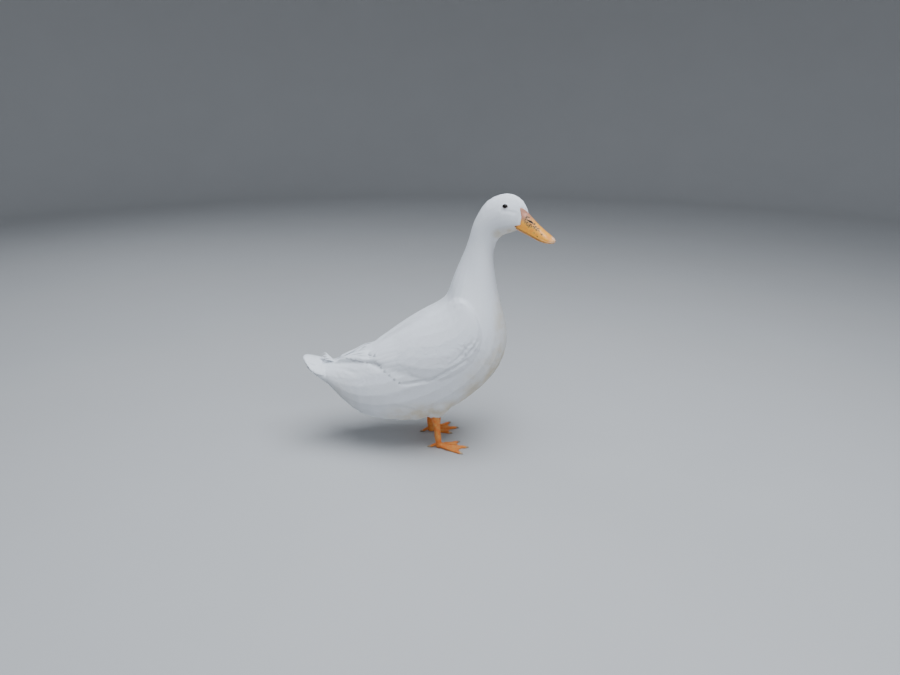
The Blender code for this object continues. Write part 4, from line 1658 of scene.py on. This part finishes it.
    def grow(self, places: Array, tract: Tract, shape: FeatherShape, rng: np.random.Generator) -> Surface:
        """Feathers of one shape at some places.

        Args:
            places: their roots.
            tract: the tract that sets their size.
            shape: their vane.
            rng: the source of chance.

        Returns:
            All the feathers as one surface.
        """
        guide, count = self.guide, len(places)
        _, normals = guide.nearest(places)
        ahead = self.lie(places, normals)
        side = np.cross(normals, ahead)
        lift = tract.lift + np.abs(rng.normal(0, tract.lift * 0.8, count))
        swing = rng.normal(0, tract.sway, count)
        upward = np.sign(side[:, 2])
        for ruffle in self.ruffles:
            near = ruffle.share(places)
            lift += near * ruffle.lift * rng.uniform(0.1, 1.2, count)
            turned = near * upward * ruffle.turn * rng.uniform(0.3, 1.3, count)
            swing += turned + near * rng.normal(0, self.tousle, count)
        swing = np.radians(swing)[:, None]
        ahead = ahead * np.cos(swing) + side * np.sin(swing)
        side = np.cross(normals, ahead)
        _, along, round_it = guide.spine.read(places)
        share = (along - tract.start) / (tract.end - tract.start)
        length = between(*tract.lengths, share) * rng.uniform(*self.uneven, count)
        tips, _ = guide.nearest(places + ahead * length[:, None])  # shorter where the body curves away
        length *= np.clip(((tips - places) * ahead).sum(1) / length, 0.3, 1)
        if tract.fine:
            length = self.trimmed(places, ahead, length)
        half = 0.5 * length * tract.slim * rng.uniform(*self.uneven, count)
        u, v = shape.u[None, :, None], shape.v[None, :, None]
        forward = ahead[:, None] * u * length[:, None, None]
        on, out = guide.nearest(places[:, None] + forward + side[:, None] * v * half[:, None, None])
        depth = self.skin.depth(places)
        roll = rng.normal(0, 0.02, count)
        sunk = 0.8 * (1 - shape.u[None]) ** 3 + 0.2 * (1 - shape.u[None])  # each lies over the next
        root_depth = depth[:, None] + (0 if tract.fine else self.root_sink)
        height = lift[:, None] * shape.u[None] ** 2 - root_depth * sunk
        height -= 0.03 * half[:, None] * shape.v[None] ** 2  # bent down at its sides
        height += roll[:, None] * half[:, None] * shape.v[None] * shape.u[None]
        points = on + out * height[..., None]
        facing = unit(out + side[:, None] * (v * rng.uniform(0.03, 0.10, count)[:, None, None])
                      - ahead[:, None] * (0.02 * u))
        patch = np.stack([shape.v, shape.u], 1) * [0.5, 1] + [0.5, 0]
        bake = baked(round_it, along, patch)
        tone = np.repeat(rng.random(count), len(shape.u)) * 0.8
        faces = shape.faces[None] + (np.arange(count) * len(shape.u))[:, None, None]
        return Surface(points.reshape(-1, 3), faces.reshape(-1, 3), facing.reshape(-1, 3),
                       bake.reshape(-1, 2), {"tone": tone})

    def build(self) -> None:
        """Grows every tract, the wide ones in two halves."""
        rng = np.random.default_rng(self.seed)
        material = self.finish.material()
        for tract in self.tracts:
            places = self.roots(tract, rng)
            halves = {"": np.ones(len(places), bool)}
            if not tract.fine:
                halves = {"_right": places[:, 1] < 0, "_left": places[:, 1] >= 0}
            for word, chosen in halves.items():
                here = places[chosen]
                shapes = (FACE_FEATHER,) if tract.fine else BODY_FEATHERS
                kind = rng.integers(0, len(shapes), len(here))
                grown = [self.grow(here[kind == k], tract, shape, rng) for k, shape in enumerate(shapes)]
                Surface.joined(grown).piece(f"feathers_{tract.name}{word}", material, Slot.FEATHERS)


# ---------------------------------------------------------------- long feathers
@dataclass(frozen=True)
class Quill:
    """A long feather laid over the body from a root to a tip."""

    root: Place
    tip: Place
    width: float
    sink: float = 0.0015  # how deep the root lies
    lift: float = 0.0003  # how high the tip lies
    thick: float = 0.00045
    point: float = 2.4  # a low number makes a pointed tip
    arch: float = 0.0  # a free curve away from the body
    free: float = 0.0  # how far the end leaves the body's curve, up to 1


@dataclass
class Quills:
    """Lays long feathers by the guide surface."""

    guide: Guide
    steps: int = 18
    columns: int = 7
    shaft: float = 0.00022  # how high it stands at the root
    widening: float = 0.22  # the part of the length over which a root widens
    leaving: tuple[float, float] = (0.35, 0.75)  # the part over which a free feather leaves the body's curve
    narrowest: float = 0.04  # its tip's width

    def lay(self, quill: Quill, side: Side, tone: float) -> Surface:
        """One feather, closed on all sides, with a shaft along it.

        Args:
            quill: the feather on the right side.
            side: the side it is wanted on.
            tone: its own shade.

        Returns:
            Its surface.
        """
        mirror = np.array([1, -side.value, 1])
        root, tip = np.array(quill.root) * mirror, np.array(quill.tip) * mirror
        share = np.linspace(0, 1, self.steps)
        straight = root + (tip - root) * share[:, None]
        line, normals = self.guide.nearest(straight)
        away = quill.free * ease(share, *self.leaving)[:, None]
        line = line + (straight - line) * away
        normals = unit(normals + (normals[self.steps // 2] - normals) * away)
        ahead = unit(np.gradient(line, axis=0))
        sideways = unit(np.cross(normals, ahead))
        outline = np.minimum(1, (share / self.widening) ** 0.7) * (1 - share**quill.point * 0.98) ** 0.55
        outline = np.maximum(outline, self.narrowest)
        v = np.linspace(-1, 1, self.columns)
        across = v[None, :] * outline[:, None] * quill.width / 2
        flat = line[:, None] + sideways[:, None] * across[..., None]
        on, out = self.guide.nearest(flat)
        on = on + (flat - on) * away[:, None]
        out = unit(out + (normals[:, None] - out) * away[:, None])
        height = -quill.sink * (1 - share) ** 1.3 + quill.lift * share**1.5
        height += quill.arch * np.sin(share * math.pi)
        height = height[:, None] - 0.05 * quill.width * v[None] ** 2 * outline[:, None]
        shaft = np.exp(-((v / 0.16) ** 2))[None] * self.shaft * (1 - share)[:, None] ** 0.5
        top = on + out * (height + shaft)[..., None]
        thick = quill.thick * (1 - 0.75 * np.abs(v) ** 3)[None] * (1 - 0.6 * share)[:, None]
        bottom = on + out * (height - thick)[..., None]
        ring = np.concatenate([top, bottom[:, ::-1]], axis=1)
        surface = grid_surface(ring, {"tone": np.full(ring.shape[:2], tone)})
        _, along, round_it = self.guide.spine.read(line[:1])
        u, w = np.meshgrid(share, np.concatenate([v, v[::-1]]) * 0.5 + 0.5, indexing="ij")
        patch = np.concatenate([np.stack([w, u], -1).reshape(-1, 2), [[0.5, 0], [0.5, 1]]])
        surface.bake = baked(round_it, along, patch)[0]
        return surface


def row_of(count: int, first: Quill, final: Quill) -> list[Quill]:
    """Feathers spaced evenly from the first to the final one."""
    return [Quill(*between(astuple(first), astuple(final), i / (count - 1))) for i in range(count)]


@dataclass
class Wing:
    """The long feathers of one folded wing, which come out from under its coverts."""

    side: Side
    quills: Quills
    finish: PlumageFinish = field(default_factory=PlumageFinish)
    tuck: float = 0.0009  # how much lower the left wing's feathers lie, under the right wing's
    seed: int = 5

    def feathers(self) -> list[Quill]:
        """The rows, from the lowest layer to the highest.

        Returns:
            The feathers, all given for the right side.
        """
        primaries = row_of(
            6,
            Quill((-0.050, -0.075, 0.205), (-0.138, -0.046, 0.214), 0.014, 0.002, 0.0006, point=5, free=0.3),
            Quill((-0.070, -0.046, 0.240), (-0.1815, -0.002, 0.1965), 0.011, 0.002, 0.0020,
                  point=4, arch=0.0020, free=0.8),
        )
        secondaries = row_of(
            8,
            Quill((0.050, -0.094, 0.200), (-0.050, -0.090, 0.176), 0.026, 0.0022, 0.0001, 0.0003, point=7),
            Quill((0.020, -0.072, 0.262), (-0.122, -0.050, 0.220), 0.026, 0.0018, 0.0004, 0.0003, point=7),
        )
        tertials = row_of(
            5,
            Quill((0.040, -0.078, 0.262), (-0.112, -0.052, 0.228), 0.032, 0.0016, 0.0006, point=6),
            Quill((0.045, -0.050, 0.315), (-0.140, 0.004, 0.2115), 0.026, 0.0016, 0.0012, point=5),
        )
        rows = [*primaries, *secondaries, *tertials]
        if self.side is Side.LEFT:
            rows = [replace(quill, lift=quill.lift - self.tuck) for quill in rows]
        return rows

    def build(self) -> None:
        """Builds the wing's long feathers as one piece."""
        rng = np.random.default_rng(self.seed)
        laid = [self.quills.lay(q, self.side, float(rng.uniform(0.1, 0.7))) for q in self.feathers()]
        material = self.finish.material()
        Surface.joined(laid).piece(f"wing_feathers_{self.side.word}", material, Slot.FEATHERS)


@dataclass
class Tail:
    """The short rounded tail: its fan, the coverts under it and the loose curl over its base."""

    quills: Quills
    finish: PlumageFinish = field(default_factory=PlumageFinish)
    pairs: int = 17
    half: float = 0.039
    end: float = -0.2588
    top: float = 0.2022  # the height of its end
    thick: float = 0.0055  # of the whole tail at its end
    layers: int = 4
    plumes: int = 7  # in the curl
    jitter: float = 0.0012  # how far their ends stray
    seed: int = 8

    def fan(self) -> list[Quill]:
        """The right half of the fan, from the outermost feather to the middle.

        Returns:
            The feathers, from the lowest layer to the highest.
        """
        out = []
        for layer in range(self.layers - 1, -1, -1):
            under = layer / self.layers
            for f in np.linspace(1, 0, self.pairs):
                drop = self.thick * under * (1 - f * f)
                root = (-0.172 - 0.006 * f, -0.004 - 0.033 * f, 0.197 - 0.020 * f - drop)
                along = self.end + 0.0245 * f**1.7 + 0.004 * under
                tip = (along, -0.002 - self.half * f, self.top - 0.0192 * f**1.9 - drop)
                out.append(Quill(root, tip, 0.017, 0.003 + drop, 0.0003 - drop, 0.0003, 3.5, free=0.8))
        return out

    def coverts(self) -> list[Quill]:
        """The right half of the under tail coverts.

        Returns:
            The feathers.
        """
        out = []
        for f in np.linspace(1, 0, self.pairs - 4):
            root = (-0.202, -0.004 - 0.030 * f, 0.141 + 0.012 * f * f)
            along = self.end + 0.003 + 0.0225 * f**1.7
            tip = (along, -0.002 - 0.034 * f, self.top - self.thick - 0.0125 * f * f)
            out.append(Quill(root, tip, 0.016, 0.003, 0.0003, 0.0003, 3.5, arch=0.0012, free=0.5))
        return out

    def curl(self) -> list[Quill]:
        """The loose plumes that arch over the tail's base.

        Returns:
            The plumes.
        """
        return row_of(
            self.plumes,
            Quill((-0.190, -0.010, 0.1915), (-0.213, -0.011, 0.191), 0.005, 0.002, 0.001, 0.0003,
                  point=2.0, arch=0.0055, free=1.0),
            Quill((-0.196, 0.007, 0.1920), (-0.227, 0.008, 0.1915), 0.005, 0.002, 0.002, 0.0003,
                  point=2.0, arch=0.0140, free=1.0),
        )

    def build(self) -> None:
        """Builds all of them as one piece."""
        rng = np.random.default_rng(self.seed)
        laid = []
        for quill in [*self.coverts(), *self.fan()]:
            for side in Side:
                laid.append(self.quills.lay(quill, side, float(rng.uniform(0.1, 0.6))))
        for quill in self.curl():
            root, tip = (tuple(end + rng.normal(0, self.jitter, 3)) for end in (quill.root, quill.tip))
            quill = replace(quill, root=root, tip=tip, arch=quill.arch * rng.uniform(0.8, 1.15))
            laid.append(self.quills.lay(quill, Side.RIGHT, float(rng.uniform(0.0, 0.3))))
        Surface.joined(laid).piece("tail_feathers", self.finish.material(), Slot.FEATHERS)


# ---------------------------------------------------------------- legs
@dataclass
class Leg:
    """One bare leg with its webbed foot and its claws."""

    side: Side
    finish: LegFinish = field(default_factory=LegFinish)
    claw_finish: ClawFinish = field(default_factory=ClawFinish)
    voxel: float = 0.0011
    claw_voxel: float = 0.00042
    padding: float = 0.0012  # how much thicker the skin makes the shank, and again towards the feathers
    ankle: tuple[float, float] = (0.014, 0.030)  # the heights between which the first sets in
    knee: tuple[float, float] = (0.055, 0.075)  # and the second

    def build(self) -> None:
        """Builds the leg's skin and the four claws."""
        word = self.side.word
        names = [f"shank_{word}", f"foot_{word}"]
        points, faces, normals = remeshed(names, self.voxel, 3)
        height = points[:, 2]
        padded = ease(height, *self.ankle) * self.padding * (1 + ease(height, *self.knee))
        points += normals * padded[:, None]
        points[:, 2] = np.maximum(points[:, 2], 0)
        made = Surface(points, faces).piece(f"leg_{word}", self.finish.material(), Slot.LEGS)
        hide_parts(*names)
        horn = self.claw_finish.material()
        for toe in ("hind", "inner", "middle", "outer"):
            name = f"claw_{toe}_{word}"
            points, faces, _ = remeshed([name], self.claw_voxel, 4)
            points[:, 2] = np.maximum(points[:, 2], 0)
            x = points[:, 0] if toe != "hind" else -points[:, 0]
            along = (x - x.min()) / np.ptp(x)
            claw = Surface(points, faces, values={"along": along})
            nail = claw.piece(f"horn_{toe}_{word}", horn, Slot.CLAWS)
            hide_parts(name)


# ---------------------------------------------------------------- studio
@dataclass
class Studio:
    """A pale floor that curves up at its edge, soft lights and the camera."""

    finish: FloorFinish = field(default_factory=FloorFinish)
    eye_height: float = 0.72
    distance: float = 1.347
    look_down: float = 19.5  # degrees
    lens: float = 27.04
    floor_radius: float = 4.0
    wall_bend: float = 1.2
    wall_height: float = 2.4
    aim: Place = (0.0, 0.0, 0.25)  # what the lights shine at
    cool: Colour = (0.86, 0.92, 1.0)  # the light from above and behind
    air: tuple[float, ...] = (0.80, 0.88, 1.0, 1)
    air_strength: float = 0.21

    def build_floor(self) -> None:
        """The floor: a wide disc whose edge curves up into a wall all the way round."""
        bend = np.linspace(0, math.pi / 2, 20)
        reach = np.concatenate([[1.2, 2.6], self.floor_radius + self.wall_bend * np.sin(bend)])
        height = np.concatenate([[0, 0], self.wall_bend * (1 - np.cos(bend))])
        reach, height = np.append(reach, reach[-1]), np.append(height, self.wall_height)
        turns = round_angles(96)
        rings = np.stack([np.outer(reach, np.cos(turns)), np.outer(reach, np.sin(turns)),
                          np.repeat(height[:, None], len(turns), 1)], -1)
        count, last = len(turns), len(reach) * len(turns)
        faces = ring_faces(len(reach), count)[:, ::-1].tolist()
        faces += [(last, j, (j + 1) % count) for j in range(count)]  # the disc's middle
        mesh = bpy.data.meshes.new("floor")
        mesh.from_pydata([*rings.reshape(-1, 3).tolist(), (0, 0, 0)], [], faces)
        mesh.polygons.foreach_set("use_smooth", np.ones(len(faces), bool))
        mesh.materials.append(self.finish.material())
        floor = placed("floor", mesh)

    def add_light(self, name: str, place: Place, size: float, power: float, colour: Colour) -> None:
        """A square soft light that shines at the duck's middle.

        Args:
            name: the light's name.
            place: where it stands.
            size: the length of its side.
            power: its power in watts.
            colour: its colour.
        """
        light = bpy.data.lights.new(name, "AREA")
        light.size, light.energy, light.color = size, power, colour
        made = placed(name, light)
        made.location = place
        off = [a - b for a, b in zip(place, self.aim)]
        yaw = math.atan2(off[0], -off[1])
        made.rotation_euler = (math.atan2(math.hypot(off[0], off[1]), off[2]), 0, yaw)

    def build_world(self) -> None:
        """The faint even light of the room."""
        world = bpy.data.worlds.new("room")
        world.use_nodes = True
        background = next(n for n in world.node_tree.nodes if n.type == "BACKGROUND")
        background.inputs["Color"].default_value = self.air
        background.inputs["Strength"].default_value = self.air_strength
        bpy.context.scene.world = world

    def build_camera(self) -> None:
        """The camera, level at its sides and looking a little down at the duck."""
        lens = bpy.data.cameras.new("camera")
        lens.lens, lens.sensor_width = self.lens, 36.0
        camera = placed("camera", lens)
        camera.location = (SHIFT, -self.distance, self.eye_height)
        camera.rotation_euler = (math.radians(90 - self.look_down), 0, 0)
        bpy.context.scene.camera = camera

    def build(self) -> None:
        """Builds the floor, the lights and the camera."""
        self.build_floor()
        self.add_light("sky", (0.25, -0.5, 2.4), 2.0, 104, self.cool)
        self.add_light("front", (1.5, -2.4, 1.3), 1.4, 20, (0.88, 0.93, 1.0))
        self.add_light("back", (-1.8, 1.8, 1.9), 1.2, 14, self.cool)
        self.build_world()
        self.build_camera()


def main() -> None:
    """Builds the duck part by part, then the studio round it."""
    logging.basicConfig(level=logging.INFO, format="%(relativeCreated)6d ms %(message)s")
    guide = Guide()
    bill = Bill(guide)
    skin = BodySkin(guide, bill)
    skin.build()
    bill.build()
    eyes = [Eye(side, guide) for side in Side]
    for eye in eyes:
        eye.build()
    for side in Side:
        Leg(side).build()
    quills = Quills(guide)
    for side in Side:
        Wing(side, quills).build()
    Tail(quills).build()
    Plumage(guide, bill, skin, eyes).build()
    Studio().build()


if __name__ == "__main__":
    main()
